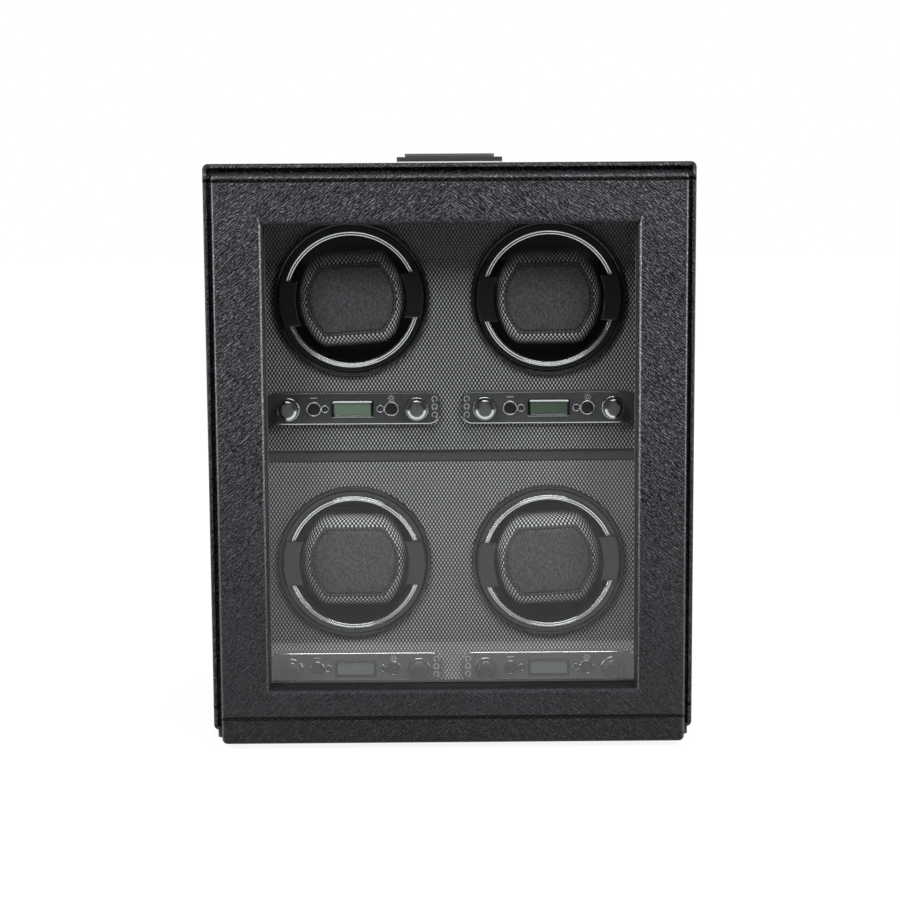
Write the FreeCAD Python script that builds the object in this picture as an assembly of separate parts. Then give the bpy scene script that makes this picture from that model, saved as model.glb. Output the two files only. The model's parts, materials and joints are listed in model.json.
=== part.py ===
import FreeCAD, Part
import math
import os

# Watch winder box: a leather cabinet with a drop-front glass door and two rows of two winding drums.
# Millimetres. Origin at the bottom centre, +Z up, the door faces -Y.

# Cabinet
CABINET_WIDTH = 267.0
CABINET_TOP = 318.0
OVERALL_DEPTH = 210.0
WALL = 9.0
CABINET_EDGE = 3.0
CABINET_RIM = 1.8
CHANNEL_LIP = 2.2
CHANNEL_DEPTH = 5.0
CHANNEL_SIDE = 1.5
CHANNEL_DROP = 0.5
BACK_PANEL_THICK = 6.0
PLINTH_HEIGHT = 4.5
PLINTH_INSET = 2.0
SHELF_THICK = 6.5
SHELF_SETBACK = 2.0
LOWER_BAY_HEIGHT = 137.0

# Door
DOOR_SIDE_INSET = 7.0
DOOR_BOTTOM = 3.2
DOOR_TOP_DROP = 5.5
DOOR_THICK = 24.0
DOOR_GAP = 1.5
DOOR_CORNER = 3.0
DOOR_EDGE = 2.8
STILE_WIDTH = 26.5
TOP_RAIL = 24.5
BOTTOM_RAIL = 30.8
WINDOW_EDGE = 4.0
GLASS_SETBACK = 12.0
GLASS_THICK = 3.0
GLASS_BITE = 5.0
GLASS_CLEAR = 0.2
RETAINER_SETBACK = 1.0
RETAINER_BEVEL = 2.0

# Drop-front hinge
HINGE_BEHIND_FRONT = 6.0
HINGE_ABOVE_BOTTOM = 5.8
HINGE_PIN_RADIUS = 1.75
HINGE_EYE_RADIUS = 3.5
HINGE_ARM_WIDTH = 5.0
HINGE_ARM_HEIGHT = 5.0
HINGE_ARM_SIDE = 13.0
HINGE_TAIL = 18.0
HINGE_ROOM = 0.5
HINGE_PIN_BITE = 4.0
PIN_CLEAR = 0.05

# Faceplates and drum layout
FACE_SETBACK = 57.0
FACE_THICK = 4.0
FACE_EDGE = 1.2
COLUMN_SPACING = 110.0
DRUM_RISE_LOWER = 80.5
DRUM_RISE_UPPER = 85.9
CONTROL_DROP = 61.3

# Drum, bezel and trim ring
CUP_INNER_RADIUS = 35.5
CUP_WALL = 2.7
CUP_BEHIND_CLIP = 6.0
CUP_FLOOR = 3.0
FLANGE_WIDTH = 5.0
FLANGE_THICK = 3.0
RUN_GAP = 0.5
BEZEL_WIDTH = 2.5
BEZEL_PROUD = 3.5
BEZEL_ROUND = 1.1
TRIM_WIDTH = 2.5
TRIM_PROUD = 1.4
TRIM_ROUND = 0.6

# Drive train, with the tooth's root and flank points in modules from the pitch circle
GEAR_MODULE = 1.25
TOOTH_ROOT = -1.25
TOOTH_FLANK = (-0.4, 0.3, 1.0)
GEAR_TEETH = 36
PINION_TEETH = 12
PRESSURE_ANGLE = 25.0
BACKLASH = 0.16
GEAR_WIDTH = 7.0
GEAR_HUB_RADIUS = 9.0
GEAR_WEB_DEPTH = 2.0
GEAR_RIM = 3.0
PINION_INSET = 0.5
SHAFT_RADIUS = 4.0
SHAFT_CLEAR = 0.05
BUSH_WALL = 3.0
BUSH_FLANGE_THICK = 1.7
BUSH_FLANGE_RADIUS = 9.0
BUSH_LENGTH = 8.0
AXIAL_GAP = 0.3
CLIP_THICK = 1.0
CLIP_WIDTH = 2.5
CHASSIS_THICK = 4.0
CHASSIS_RIM = 4.0
CHASSIS_MARGIN = 52.0
CHASSIS_CORNER = 6.0
POST_RADIUS = 5.0
POST_INSET = 8.0
BOSS_WALL = 4.0
GEARBOX_RADIUS = 12.0
GEARBOX_LENGTH = 16.0
MOTOR_RADIUS = 10.0
MOTOR_LENGTH = 24.0
MOTOR_SHAFT_RADIUS = 2.0
MOTOR_SHAFT_DEPTH = 6.0
MOTOR_SHAFT_ROOM = 1.0
SHAFT_HOLE_ROOM = 1.5

# Watch cuffs
CUFF_CORNER_GAP = 3.5
CUFF_FLAT_HALF = 18.0
CUFF_DEPTH = 43.0
CUFF_PROUD = 0.5
CUFF_CROWN = 1.6
CUFF_ROUND = 4.0
CUFF_ROUND_STEP = 1.2
CUFF_CORNER_DRAW = 0.6
FACE_PAD_MARGIN_X = 5.0
FACE_PAD_MARGIN_Z = 6.3
FACE_PAD_FLAT_INSET = 2.0
FACE_PAD_PROUD = 1.0
FACE_PAD_CROWN_INSET = 2.0
CUFF_TURNS = {"upper_left": 4.0, "upper_right": 0.5, "lower_left": 0.0, "lower_right": 3.0}
CLIP_CUP_GAP = 0.33
CLIP_GAP = 0.3
CLIP_PLATE = 2.6
CLIP_HALF_HEIGHT = 11.0
CLIP_STRAP_GAP = 6.0
CLIP_BAR_THICK = 2.5
TAB_HALF_HEIGHT = 12.5
TAB_LAP = 4.7
TAB_THICK = 2.3
TAB_ROUND = 0.6

# Control panels
PANEL_SPACING = 12.0
PANEL_HEIGHT = 18.5
PANEL_THICK = 4.0
PANEL_CORNER = 6.0
PANEL_ROUND = 1.2
PANEL_LAP = 2.0
KNOB_INSET = 13.0
KNOB_TO_BUTTON = 14.3
BUTTON_TO_LAMP = 6.2
LAMP_TO_SCREEN = 5.1
SCREEN_HEIGHT = 7.0
SCREEN_CORNER = 0.5
SCREEN_RIM = 1.5
SCREEN_RIM_PROUD = 0.7
RIM_CORNER = 1.2
RIM_ROUND = 0.4
RIM_SLOPE = 0.9
RIM_SLOPE_DEPTH = 0.45
SCREEN_SINK = 0.6
SCREEN_THICK = 3.0
LAMP_RADIUS = 1.5
LAMP_PROUD = 0.5
LAMP_FLAT = 0.4
LAMP_COLLAR = 0.6
FIT_CLEAR = 0.1
KNOB_RADIUS = 6.7
KNOB_LENGTH = 9.0
KNOB_SKIRT = 3.2
KNOB_ROUND = 0.7
KNOB_HEAD_RADIUS = 5.2
KNOB_FLAT = 3.2
KNOB_DOME = 1.3
KNOB_GAP = 0.5
KNOB_MARK_RADIUS = 0.6
KNOB_MARK_INSET = 1.5
KNOB_MARK_DEPTH = 1.0
KNOB_MARK_ANGLE = 135.0
KNOB_SHAFT_RADIUS = 3.0
KNOB_SHAFT_CLEAR = 0.06
KNOB_HOLE_ROOM = 0.4
BUTTON_RADIUS = 3.0
BUTTON_PROUD = 1.4
BUTTON_TRAVEL = 1.0
BUTTON_ROOM = 0.3
BUTTON_COLLAR = 0.9
COLLAR_PROUD = 0.7
COLLAR_EDGE = 0.2
COLLAR_SLOPE_DEPTH = 0.35
BUTTON_ROUND = 0.6
BUTTON_FLANGE = 0.9
BUTTON_FLANGE_THICK = 1.0
BUTTON_STEM_RADIUS = 1.2
BUTTON_STEM_LENGTH = 1.4
BOARD_STANDOFF = 8.0
BOARD_THICK = 1.6
BOARD_CLEAR = 0.5
BOARD_POST_RADIUS = 2.5
BOARD_POST_INSET = 5.0
ENCODER_SIZE = 11.0
SWITCH_SIZE = 6.0

# Latch on the cabinet top
LATCH_WIDTH = 57.0
LATCH_DEPTH = 32.0
LATCH_SETBACK = 1.5
LATCH_PLATE_THICK = 0.9
LATCH_HOUSING_HEIGHT = 2.2
LATCH_GAP = 0.3
LATCH_CORNER = 2.5
LATCH_ROUND = 0.4
SLIDER_WIDTH = 48.5
SLIDER_DEPTH = 20.0
SLIDER_THICK = 1.5
LATCH_TRAVEL = 6.0
STEM_WIDTH = 16.0
STEM_DEPTH = 5.0
STEM_CLEAR = 0.4
BOLT_WIDTH = 12.0
BOLT_HEIGHT = 5.0
BOLT_DROP = 3.5
BOLT_SETBACK = 1.2
STRIKE_ROOM = 1.2

# Power socket in the back panel
SOCKET_X = 80.0
SOCKET_Z = 30.0
SOCKET_BODY_RADIUS = 5.5
SOCKET_BORE_RADIUS = 2.85
SOCKET_BORE_DEPTH = 9.5
SOCKET_BODY_LENGTH = 13.5
SOCKET_SINK = 0.5

# Derived planes
FRONT_Y = -OVERALL_DEPTH / 2
BACK_Y = OVERALL_DEPTH / 2
DOOR_BACK_Y = FRONT_Y + DOOR_THICK
CASE_FRONT_Y = DOOR_BACK_Y + DOOR_GAP
INNER_X = CABINET_WIDTH / 2 - WALL
FLOOR_Z = PLINTH_HEIGHT + WALL
CEILING_Z = CABINET_TOP - WALL
SHELF_Z = FLOOR_Z + LOWER_BAY_HEIGHT
SHELF_TOP_Z = SHELF_Z + SHELF_THICK
PANEL_INNER_Y = BACK_Y - BACK_PANEL_THICK
FACE_Y = FRONT_Y + FACE_SETBACK
FACE_BACK_Y = FACE_Y + FACE_THICK
FLANGE_Y = FACE_Y - FLANGE_THICK
FLANGE_RADIUS = CUP_INNER_RADIUS + FLANGE_WIDTH
CUFF_FRONT_Y = FLANGE_Y - CUFF_PROUD
CUFF_BACK_Y = CUFF_FRONT_Y + CUFF_DEPTH
CLIP_BAR_Y = CUFF_BACK_Y + CLIP_STRAP_GAP
CUP_DEPTH = CLIP_BAR_Y + CLIP_BAR_THICK + CUP_BEHIND_CLIP - FLANGE_Y
CUP_BACK_Y = FLANGE_Y + CUP_DEPTH + CUP_FLOOR
GEAR_BACK_Y = CUP_BACK_Y + GEAR_WIDTH
CHASSIS_Y = GEAR_BACK_Y + AXIAL_GAP + BUSH_FLANGE_THICK
CHASSIS_BACK_Y = CHASSIS_Y + CHASSIS_THICK
BUSH_END_Y = CHASSIS_Y + BUSH_LENGTH
BUSH_RADIUS = SHAFT_RADIUS + SHAFT_CLEAR + BUSH_WALL
HOLE_RADIUS = FLANGE_RADIUS + RUN_GAP
DOOR_WIDTH = CABINET_WIDTH - 2 * DOOR_SIDE_INSET
DOOR_TOP = CABINET_TOP - DOOR_TOP_DROP
WINDOW_X = DOOR_WIDTH / 2 - STILE_WIDTH
WINDOW_LOW = DOOR_BOTTOM + BOTTOM_RAIL
WINDOW_HIGH = DOOR_TOP - TOP_RAIL
GLASS_Y = FRONT_Y + GLASS_SETBACK
HINGE_Y = FRONT_Y + HINGE_BEHIND_FRONT
HINGE_Z = DOOR_BOTTOM + HINGE_ABOVE_BOTTOM
HINGE_X = DOOR_WIDTH / 2 - HINGE_ARM_SIDE - HINGE_ARM_WIDTH / 2
PANEL_Y = FACE_Y - PANEL_THICK
BOARD_Y = FACE_Y + BOARD_STANDOFF
TRIM_FRONT_Y = FLANGE_Y - TRIM_PROUD
TAB_BACK_Y = TRIM_FRONT_Y - CLIP_GAP
GEAR_DISTANCE = GEAR_MODULE * (GEAR_TEETH + PINION_TEETH) / 2
CHASSIS_HALF_HEIGHT = GEAR_DISTANCE + GEARBOX_RADIUS + CHASSIS_RIM
CLIP_OUTER_X = math.sqrt((CUP_INNER_RADIUS - CLIP_CUP_GAP) ** 2 - CLIP_HALF_HEIGHT ** 2)
CUFF_HALF_WIDTH = CLIP_OUTER_X - CLIP_PLATE - CLIP_GAP
CUFF_HALF_HEIGHT = math.sqrt((CUP_INNER_RADIUS - CUFF_CORNER_GAP) ** 2 - CUFF_FLAT_HALF ** 2)
FACE_PAD_HALF_WIDTH = CUFF_HALF_WIDTH - FACE_PAD_MARGIN_X
FACE_PAD_HALF_HEIGHT = CUFF_HALF_HEIGHT - FACE_PAD_MARGIN_Z
TAB_REACH = CUP_INNER_RADIUS + TAB_LAP
CUFF_BOW = CUFF_HALF_WIDTH - CUFF_FLAT_HALF
CUFF_SIDE_RADIUS = (CUFF_HALF_HEIGHT ** 2 + CUFF_BOW ** 2) / (2 * CUFF_BOW)
PANEL_WIDTH = COLUMN_SPACING - PANEL_SPACING
KNOB_OFFSET = PANEL_WIDTH / 2 - KNOB_INSET
BUTTON_OFFSET = KNOB_OFFSET - KNOB_TO_BUTTON
LAMP_OFFSET = BUTTON_OFFSET - BUTTON_TO_LAMP
SCREEN_WIDTH = 2 * (LAMP_OFFSET - LAMP_TO_SCREEN)
BOARD_POST_OFFSET = PANEL_WIDTH / 2 - BOARD_POST_INSET
LATCH_Y = CASE_FRONT_Y + LATCH_SETBACK
HOUSING_Z = CABINET_TOP + LATCH_PLATE_THICK
SLIDER_Z = HOUSING_Z + LATCH_HOUSING_HEIGHT + LATCH_GAP
BOLT_TOP_Z = CEILING_Z - BOLT_DROP
BOLT_TIP_Y = DOOR_BACK_Y + BOLT_SETBACK
STEM_Y = LATCH_Y + 2 * LATCH_TRAVEL + 2 * STEM_CLEAR

# Drum centres, by row and column
MODULES = {}
for row_name, drum_z in (("upper", SHELF_TOP_Z + DRUM_RISE_UPPER), ("lower", FLOOR_Z + DRUM_RISE_LOWER)):
    MODULES[row_name + "_left"] = (-COLUMN_SPACING / 2, drum_z)
    MODULES[row_name + "_right"] = (COLUMN_SPACING / 2, drum_z)

vector = FreeCAD.Vector
ALONG_X = vector(1, 0, 0)
ALONG_Y = vector(0, 1, 0)


def block(x0, x1, y0, y1, z0, z1):
    """A box between two corners."""
    return Part.makeBox(x1 - x0, y1 - y0, z1 - z0, vector(x0, y0, z0))


def rod(x, z, radius, y0, y1):
    """A round bar along Y."""
    return Part.makeCylinder(radius, y1 - y0, vector(x, y0, z), ALONG_Y)


def turned(profile, x, z):
    """A solid of revolution about the Y line through (x, z), from (radius, y) points.

    A point with a third value is passed through by an arc between the points beside it.
    """
    points = [vector(point[0], point[1], 0) for point in profile]
    count = len(points)
    edges = []
    for index, point in enumerate(profile):
        after = (index + 1) % count
        if len(point) == 3:
            continue
        if len(profile[after]) == 3:
            edges.append(Part.Arc(points[index], points[after], points[(after + 1) % count]).toShape())
        else:
            edges.append(Part.LineSegment(points[index], points[after]).toShape())
    face = Part.Face(Part.Wire(edges))
    solid = face.revolve(vector(0, 0, 0), ALONG_Y, 360)
    solid.translate(vector(x, 0, z))
    return solid


def dome_points(flat, radius, ball_radius, front):
    """Profile points of a ball-shaped shoulder that falls away from a flat front face."""
    crown = math.sqrt(ball_radius ** 2 - flat ** 2)
    middle = (flat + radius) / 2
    return [
        (flat, front),
        (middle, front + crown - math.sqrt(ball_radius ** 2 - middle ** 2), "arc"),
        (radius, front + crown - math.sqrt(ball_radius ** 2 - radius ** 2)),
    ]


def rounded_plate(x, z, width, height, corner, y0, y1):
    """A plate with round corners, upright, between two depths."""
    plate = block(x - width / 2, x + width / 2, y0, y1, z - height / 2, z + height / 2)
    corners = [edge for edge in plate.Edges if edge.BoundBox.YLength > (y1 - y0) / 2]
    return plate.makeFillet(corner, corners)


def round_ring(x, z, inner, outer, y0, y1, fillet):
    """A flat ring about Y whose front edges are rounded over."""
    ring = rod(x, z, outer, y0, y1).cut(rod(x, z, inner, y0, y1))
    return one(ring.makeFillet(fillet, edges_at_depth(ring, y0)))


def edges_at_depth(shape, y, x_limit=None, z_range=None):
    """The edges that lie in one depth plane, or only those within a rectangle of it."""
    found = []
    for edge in shape.Edges:
        box = edge.BoundBox
        if abs(box.YMin - y) > 1e-4 or abs(box.YMax - y) > 1e-4:
            continue
        if x_limit is not None and max(abs(box.XMin), abs(box.XMax)) > x_limit + 1e-4:
            continue
        if z_range is not None and (box.ZMin < z_range[0] - 1e-4 or box.ZMax > z_range[1] + 1e-4):
            continue
        found.append(edge)
    return found


def edges_at_height(shape, z):
    """The edges that lie in one level plane."""
    found = []
    for edge in shape.Edges:
        if abs(edge.BoundBox.ZMin - z) < 1e-4 and abs(edge.BoundBox.ZMax - z) < 1e-4:
            found.append(edge)
    return found


def one(shape):
    """The single solid that a cut or a fuse gives."""
    shape = shape.removeSplitter()
    return shape.Solids[0] if len(shape.Solids) == 1 else shape


def cabinet_shell():
    half = CABINET_WIDTH / 2
    shell = block(-half, half, CASE_FRONT_Y, BACK_Y, PLINTH_HEIGHT, CABINET_TOP)
    long_edges = [edge for edge in shell.Edges if edge.BoundBox.YLength > OVERALL_DEPTH / 2]
    shell = shell.makeFillet(CABINET_EDGE, long_edges)
    rims = edges_at_depth(shell, CASE_FRONT_Y) + edges_at_depth(shell, BACK_Y)
    shell = shell.makeFillet(CABINET_RIM, rims)
    hollow = block(-INNER_X, INNER_X, CASE_FRONT_Y, BACK_Y, FLOOR_Z, CEILING_Z)
    shell = shell.cut(hollow).cut(door_channel())
    for side in (-1, 1):
        shell = shell.cut(hinge_tail(side))
    return one(shell.cut(stem_slot(CEILING_Z, CABINET_TOP)))


def door_channel():
    """The shadow channel in the case's front, round the sides and top of the closed door."""
    reach = CABINET_WIDTH / 2 - CHANNEL_LIP
    end_y = CASE_FRONT_Y + CHANNEL_DEPTH
    low = PLINTH_HEIGHT + CHANNEL_LIP
    channel = block(-reach, reach, CASE_FRONT_Y, end_y, low, CABINET_TOP - CHANNEL_LIP)
    ridge_x = DOOR_WIDTH / 2 + CHANNEL_SIDE
    return channel.cut(block(-ridge_x, ridge_x, CASE_FRONT_Y, end_y, low, DOOR_TOP - CHANNEL_DROP))


def back_panel():
    panel = block(-INNER_X, INNER_X, PANEL_INNER_Y, BACK_Y, FLOOR_Z, CEILING_Z)
    return panel.cut(rod(SOCKET_X, SOCKET_Z, SOCKET_BODY_RADIUS, PANEL_INNER_Y, BACK_Y))


def power_socket():
    face_y = BACK_Y - SOCKET_SINK
    body = rod(SOCKET_X, SOCKET_Z, SOCKET_BODY_RADIUS, face_y - SOCKET_BODY_LENGTH, face_y)
    return body.cut(rod(SOCKET_X, SOCKET_Z, SOCKET_BORE_RADIUS, face_y - SOCKET_BORE_DEPTH, face_y))


def base_plinth():
    half = CABINET_WIDTH / 2 - PLINTH_INSET
    plinth = block(-half, half, CASE_FRONT_Y + PLINTH_INSET, BACK_Y - PLINTH_INSET, 0, PLINTH_HEIGHT)
    uprights = [edge for edge in plinth.Edges if edge.BoundBox.ZLength > PLINTH_HEIGHT / 2]
    return plinth.makeFillet(CABINET_EDGE, uprights)


def shelf_board():
    front = FACE_Y + SHELF_SETBACK
    board = block(-INNER_X, INNER_X, front, PANEL_INNER_Y, SHELF_Z, SHELF_TOP_Z)
    return board.makeFillet(FACE_EDGE, edges_at_depth(board, front, x_limit=INNER_X))


def faceplates():
    rows = {"lower": (FLOOR_Z, SHELF_Z), "upper": (SHELF_TOP_Z, CEILING_Z)}
    plates = []
    for row_name, (low, high) in rows.items():
        plate = block(-INNER_X, INNER_X, FACE_Y, FACE_BACK_Y, low, high)
        plate = plate.makeFillet(FACE_EDGE, edges_at_depth(plate, FACE_Y))
        for name, (x, z) in MODULES.items():
            if name.startswith(row_name):
                plate = plate.cut(rod(x, z, HOLE_RADIUS, FACE_Y, FACE_BACK_Y))
                plate = plate.cut(board_window(x, z - CONTROL_DROP))
        plates.append(one(plate))
    return Part.makeCompound(plates)


def board_window(x, z):
    width = PANEL_WIDTH - 2 * PANEL_LAP
    height = PANEL_HEIGHT - 2 * PANEL_LAP
    return rounded_plate(x, z, width, height, PANEL_CORNER / 2, FACE_Y, FACE_BACK_Y)


def door_frame():
    half = DOOR_WIDTH / 2
    frame = block(-half, half, FRONT_Y, DOOR_BACK_Y, DOOR_BOTTOM, DOOR_TOP)
    corners = [edge for edge in frame.Edges if edge.BoundBox.YLength > DOOR_THICK / 2]
    frame = frame.makeFillet(DOOR_CORNER, corners)
    frame = frame.makeFillet(DOOR_EDGE, edges_at_depth(frame, FRONT_Y))
    frame = frame.cut(block(-WINDOW_X, WINDOW_X, FRONT_Y, DOOR_BACK_Y, WINDOW_LOW, WINDOW_HIGH))
    window = edges_at_depth(frame, FRONT_Y, WINDOW_X, (WINDOW_LOW, WINDOW_HIGH))
    frame = frame.makeFillet(WINDOW_EDGE, window)
    frame = frame.cut(glass_room(GLASS_BITE, GLASS_Y, DOOR_BACK_Y))
    for side in (-1, 1):
        frame = frame.cut(hinge_notch(side))
        frame = frame.cut(hinge_pin(side))
    strike_x = BOLT_WIDTH / 2 + STRIKE_ROOM
    strike_y = DOOR_BACK_Y - LATCH_TRAVEL + BOLT_SETBACK - STRIKE_ROOM
    strike_low = BOLT_TOP_Z - BOLT_HEIGHT - STRIKE_ROOM
    strike_high = BOLT_TOP_Z + STRIKE_ROOM
    return one(frame.cut(block(-strike_x, strike_x, strike_y, DOOR_BACK_Y, strike_low, strike_high)))


def glass_room(bite, y0, y1):
    return block(-WINDOW_X - bite, WINDOW_X + bite, y0, y1, WINDOW_LOW - bite, WINDOW_HIGH + bite)


def door_glass():
    return glass_room(GLASS_BITE - GLASS_CLEAR, GLASS_Y, GLASS_Y + GLASS_THICK)


def glass_retainer():
    inner_y = GLASS_Y + GLASS_THICK
    ring = glass_room(GLASS_BITE, inner_y, DOOR_BACK_Y - RETAINER_SETBACK)
    ring = ring.cut(glass_room(0, inner_y, DOOR_BACK_Y))
    inner = edges_at_depth(ring, DOOR_BACK_Y - RETAINER_SETBACK, WINDOW_X, (WINDOW_LOW, WINDOW_HIGH))
    return one(ring.makeChamfer(RETAINER_BEVEL, inner))


def hinge_tail(side):
    """The part of a hinge arm that is let into the cabinet's bottom board."""
    x0 = side * HINGE_X - HINGE_ARM_WIDTH / 2
    low = HINGE_Z - HINGE_ARM_HEIGHT / 2
    end_y = CASE_FRONT_Y + HINGE_TAIL
    return block(x0, x0 + HINGE_ARM_WIDTH, CASE_FRONT_Y, end_y, low, low + HINGE_ARM_HEIGHT)


def hinge_arms():
    arms = []
    for side in (-1, 1):
        x0 = side * HINGE_X - HINGE_ARM_WIDTH / 2
        low = HINGE_Z - HINGE_ARM_HEIGHT / 2
        bar = block(x0, x0 + HINGE_ARM_WIDTH, HINGE_Y, CASE_FRONT_Y, low, low + HINGE_ARM_HEIGHT)
        eye = Part.makeCylinder(HINGE_EYE_RADIUS, HINGE_ARM_WIDTH, vector(x0, HINGE_Y, HINGE_Z), ALONG_X)
        bore_radius = HINGE_PIN_RADIUS + PIN_CLEAR
        bore = Part.makeCylinder(bore_radius, HINGE_ARM_WIDTH, vector(x0, HINGE_Y, HINGE_Z), ALONG_X)
        arms.append(one(bar.fuse(eye).fuse(hinge_tail(side)).cut(bore)))
    return Part.makeCompound(arms)


def hinge_notch(side):
    """Room in the door for a hinge arm, open to the back and the bottom."""
    half = HINGE_ARM_WIDTH / 2 + HINGE_ROOM
    x = side * HINGE_X
    reach = HINGE_EYE_RADIUS + HINGE_ROOM
    return block(x - half, x + half, HINGE_Y - reach, DOOR_BACK_Y, DOOR_BOTTOM, HINGE_Z + reach)


def hinge_pin(side):
    length = HINGE_ARM_WIDTH + 2 * HINGE_ROOM + 2 * HINGE_PIN_BITE
    start = vector(side * HINGE_X - length / 2, HINGE_Y, HINGE_Z)
    return Part.makeCylinder(HINGE_PIN_RADIUS, length, start, ALONG_X)


def hinge_pins():
    return Part.makeCompound([hinge_pin(side) for side in (-1, 1)])


def stem_slot(z0, z1):
    """The slot that the latch stem slides in."""
    half = STEM_WIDTH / 2 + STEM_CLEAR
    return block(-half, half, STEM_Y - LATCH_TRAVEL - STEM_CLEAR, STEM_Y + STEM_DEPTH + STEM_CLEAR, z0, z1)


def latch_base():
    mid_y = LATCH_Y + LATCH_DEPTH / 2
    layers = []
    for z0, z1 in ((CABINET_TOP, HOUSING_Z), (HOUSING_Z, HOUSING_Z + LATCH_HOUSING_HEIGHT)):
        half = LATCH_WIDTH / 2
        layer = block(-half, half, mid_y - LATCH_DEPTH / 2, mid_y + LATCH_DEPTH / 2, z0, z1)
        uprights = [edge for edge in layer.Edges if edge.BoundBox.ZLength > (z1 - z0) / 2]
        layer = layer.makeFillet(LATCH_CORNER, uprights)
        layer = layer.makeFillet(LATCH_ROUND, edges_at_height(layer, z1))
        layers.append(one(layer.cut(stem_slot(z0, z1))))
    return Part.makeCompound(layers)


def latch_slider():
    front = LATCH_Y + LATCH_TRAVEL
    half = SLIDER_WIDTH / 2
    plate = block(-half, half, front, front + SLIDER_DEPTH, SLIDER_Z, SLIDER_Z + SLIDER_THICK)
    uprights = [edge for edge in plate.Edges if edge.BoundBox.ZLength > SLIDER_THICK / 2]
    plate = plate.makeFillet(LATCH_CORNER, uprights)
    plate = plate.makeFillet(LATCH_ROUND, edges_at_height(plate, SLIDER_Z + SLIDER_THICK))
    half = STEM_WIDTH / 2
    bolt_low = BOLT_TOP_Z - BOLT_HEIGHT
    stem = block(-half, half, STEM_Y, STEM_Y + STEM_DEPTH, bolt_low, SLIDER_Z)
    half = BOLT_WIDTH / 2
    bolt = block(-half, half, BOLT_TIP_Y, STEM_Y, bolt_low, BOLT_TOP_Z)
    return one(plate.fuse(stem).fuse(bolt))


def drum_bezels():
    return Part.makeCompound([drum_bezel(x, z) for x, z in MODULES.values()])


def drum_bezel(x, z):
    return round_ring(x, z, HOLE_RADIUS, HOLE_RADIUS + BEZEL_WIDTH, FACE_Y - BEZEL_PROUD, FACE_Y, BEZEL_ROUND)


def drum_cup(x, z):
    outer = CUP_INNER_RADIUS + CUP_WALL
    floor_y = CUP_BACK_Y - CUP_FLOOR
    profile = [
        (0, floor_y),
        (CUP_INNER_RADIUS, floor_y),
        (CUP_INNER_RADIUS, FLANGE_Y),
        (FLANGE_RADIUS, FLANGE_Y),
        (FLANGE_RADIUS, FLANGE_Y + FLANGE_THICK),
        (outer, FLANGE_Y + FLANGE_THICK),
        (outer, CUP_BACK_Y),
        (0, CUP_BACK_Y),
    ]
    return turned(profile, x, z)


def trim_ring(x, z):
    outer = CUP_INNER_RADIUS + TRIM_WIDTH
    return round_ring(x, z, CUP_INNER_RADIUS, outer, TRIM_FRONT_Y, FLANGE_Y, TRIM_ROUND)


def involute(angle):
    return math.tan(angle) - angle


def gear_blank(teeth, tooth_angle, x, z, y0, y1):
    """A spur gear about Y, one tooth centred at tooth_angle from +X towards +Z."""
    pressure = math.radians(PRESSURE_ANGLE)
    pitch = GEAR_MODULE * teeth / 2
    base = pitch * math.cos(pressure)
    half_tooth = math.pi / (2 * teeth) - BACKLASH / (2 * pitch)
    flank = []
    for modules in (TOOTH_ROOT,) + TOOTH_FLANK:
        radius = pitch + modules * GEAR_MODULE
        pull = math.acos(min(1.0, base / radius))
        flank.append((radius, half_tooth + involute(pressure) - involute(pull)))
    points = []
    for index in range(teeth):
        centre = tooth_angle + 2 * math.pi * index / teeth
        for radius, offset in flank:
            points.append((radius, centre - offset))
        for radius, offset in reversed(flank):
            points.append((radius, centre + offset))
    corners = [vector(x + r * math.cos(a), y0, z + r * math.sin(a)) for r, a in points]
    face = Part.Face(Part.makePolygon(corners + corners[:1]))
    return face.extrude(vector(0, y1 - y0, 0))


def drive_gear(x, z):
    """The drum's gear with its dished web and shaft, and the ring that retains the shaft."""
    blank = gear_blank(GEAR_TEETH, math.pi / 2 + math.pi / GEAR_TEETH, x, z, CUP_BACK_Y, GEAR_BACK_Y)
    rim_radius = GEAR_MODULE * (GEAR_TEETH / 2 + TOOTH_ROOT) - GEAR_RIM
    dish = rod(x, z, rim_radius, GEAR_BACK_Y - GEAR_WEB_DEPTH, GEAR_BACK_Y)
    dish = dish.cut(rod(x, z, GEAR_HUB_RADIUS, GEAR_BACK_Y - GEAR_WEB_DEPTH, GEAR_BACK_Y))
    clip_y = BUSH_END_Y + AXIAL_GAP
    shaft = rod(x, z, SHAFT_RADIUS, GEAR_BACK_Y - GEAR_WEB_DEPTH, clip_y + 2 * CLIP_THICK)
    gear = one(blank.cut(dish).fuse(shaft))
    clip = rod(x, z, SHAFT_RADIUS + CLIP_WIDTH, clip_y, clip_y + CLIP_THICK)
    return Part.makeCompound([gear, clip.cut(rod(x, z, SHAFT_RADIUS, clip_y, clip_y + CLIP_THICK))])


def motor_pinion(x, z):
    motor_z = z + GEAR_DISTANCE
    teeth = gear_blank(PINION_TEETH, -math.pi / 2, x, motor_z, CUP_BACK_Y + PINION_INSET, GEAR_BACK_Y)
    shaft = rod(x, motor_z, MOTOR_SHAFT_RADIUS, GEAR_BACK_Y, CHASSIS_BACK_Y + MOTOR_SHAFT_DEPTH)
    return one(teeth.fuse(shaft))


def shaft_bearings():
    inner = SHAFT_RADIUS + SHAFT_CLEAR
    front = CHASSIS_Y - BUSH_FLANGE_THICK
    profile = [
        (inner, front),
        (BUSH_FLANGE_RADIUS, front),
        (BUSH_FLANGE_RADIUS, CHASSIS_Y),
        (BUSH_RADIUS, CHASSIS_Y),
        (BUSH_RADIUS, BUSH_END_Y),
        (inner, BUSH_END_Y),
    ]
    return Part.makeCompound([turned(profile, x, z) for x, z in MODULES.values()])


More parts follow.
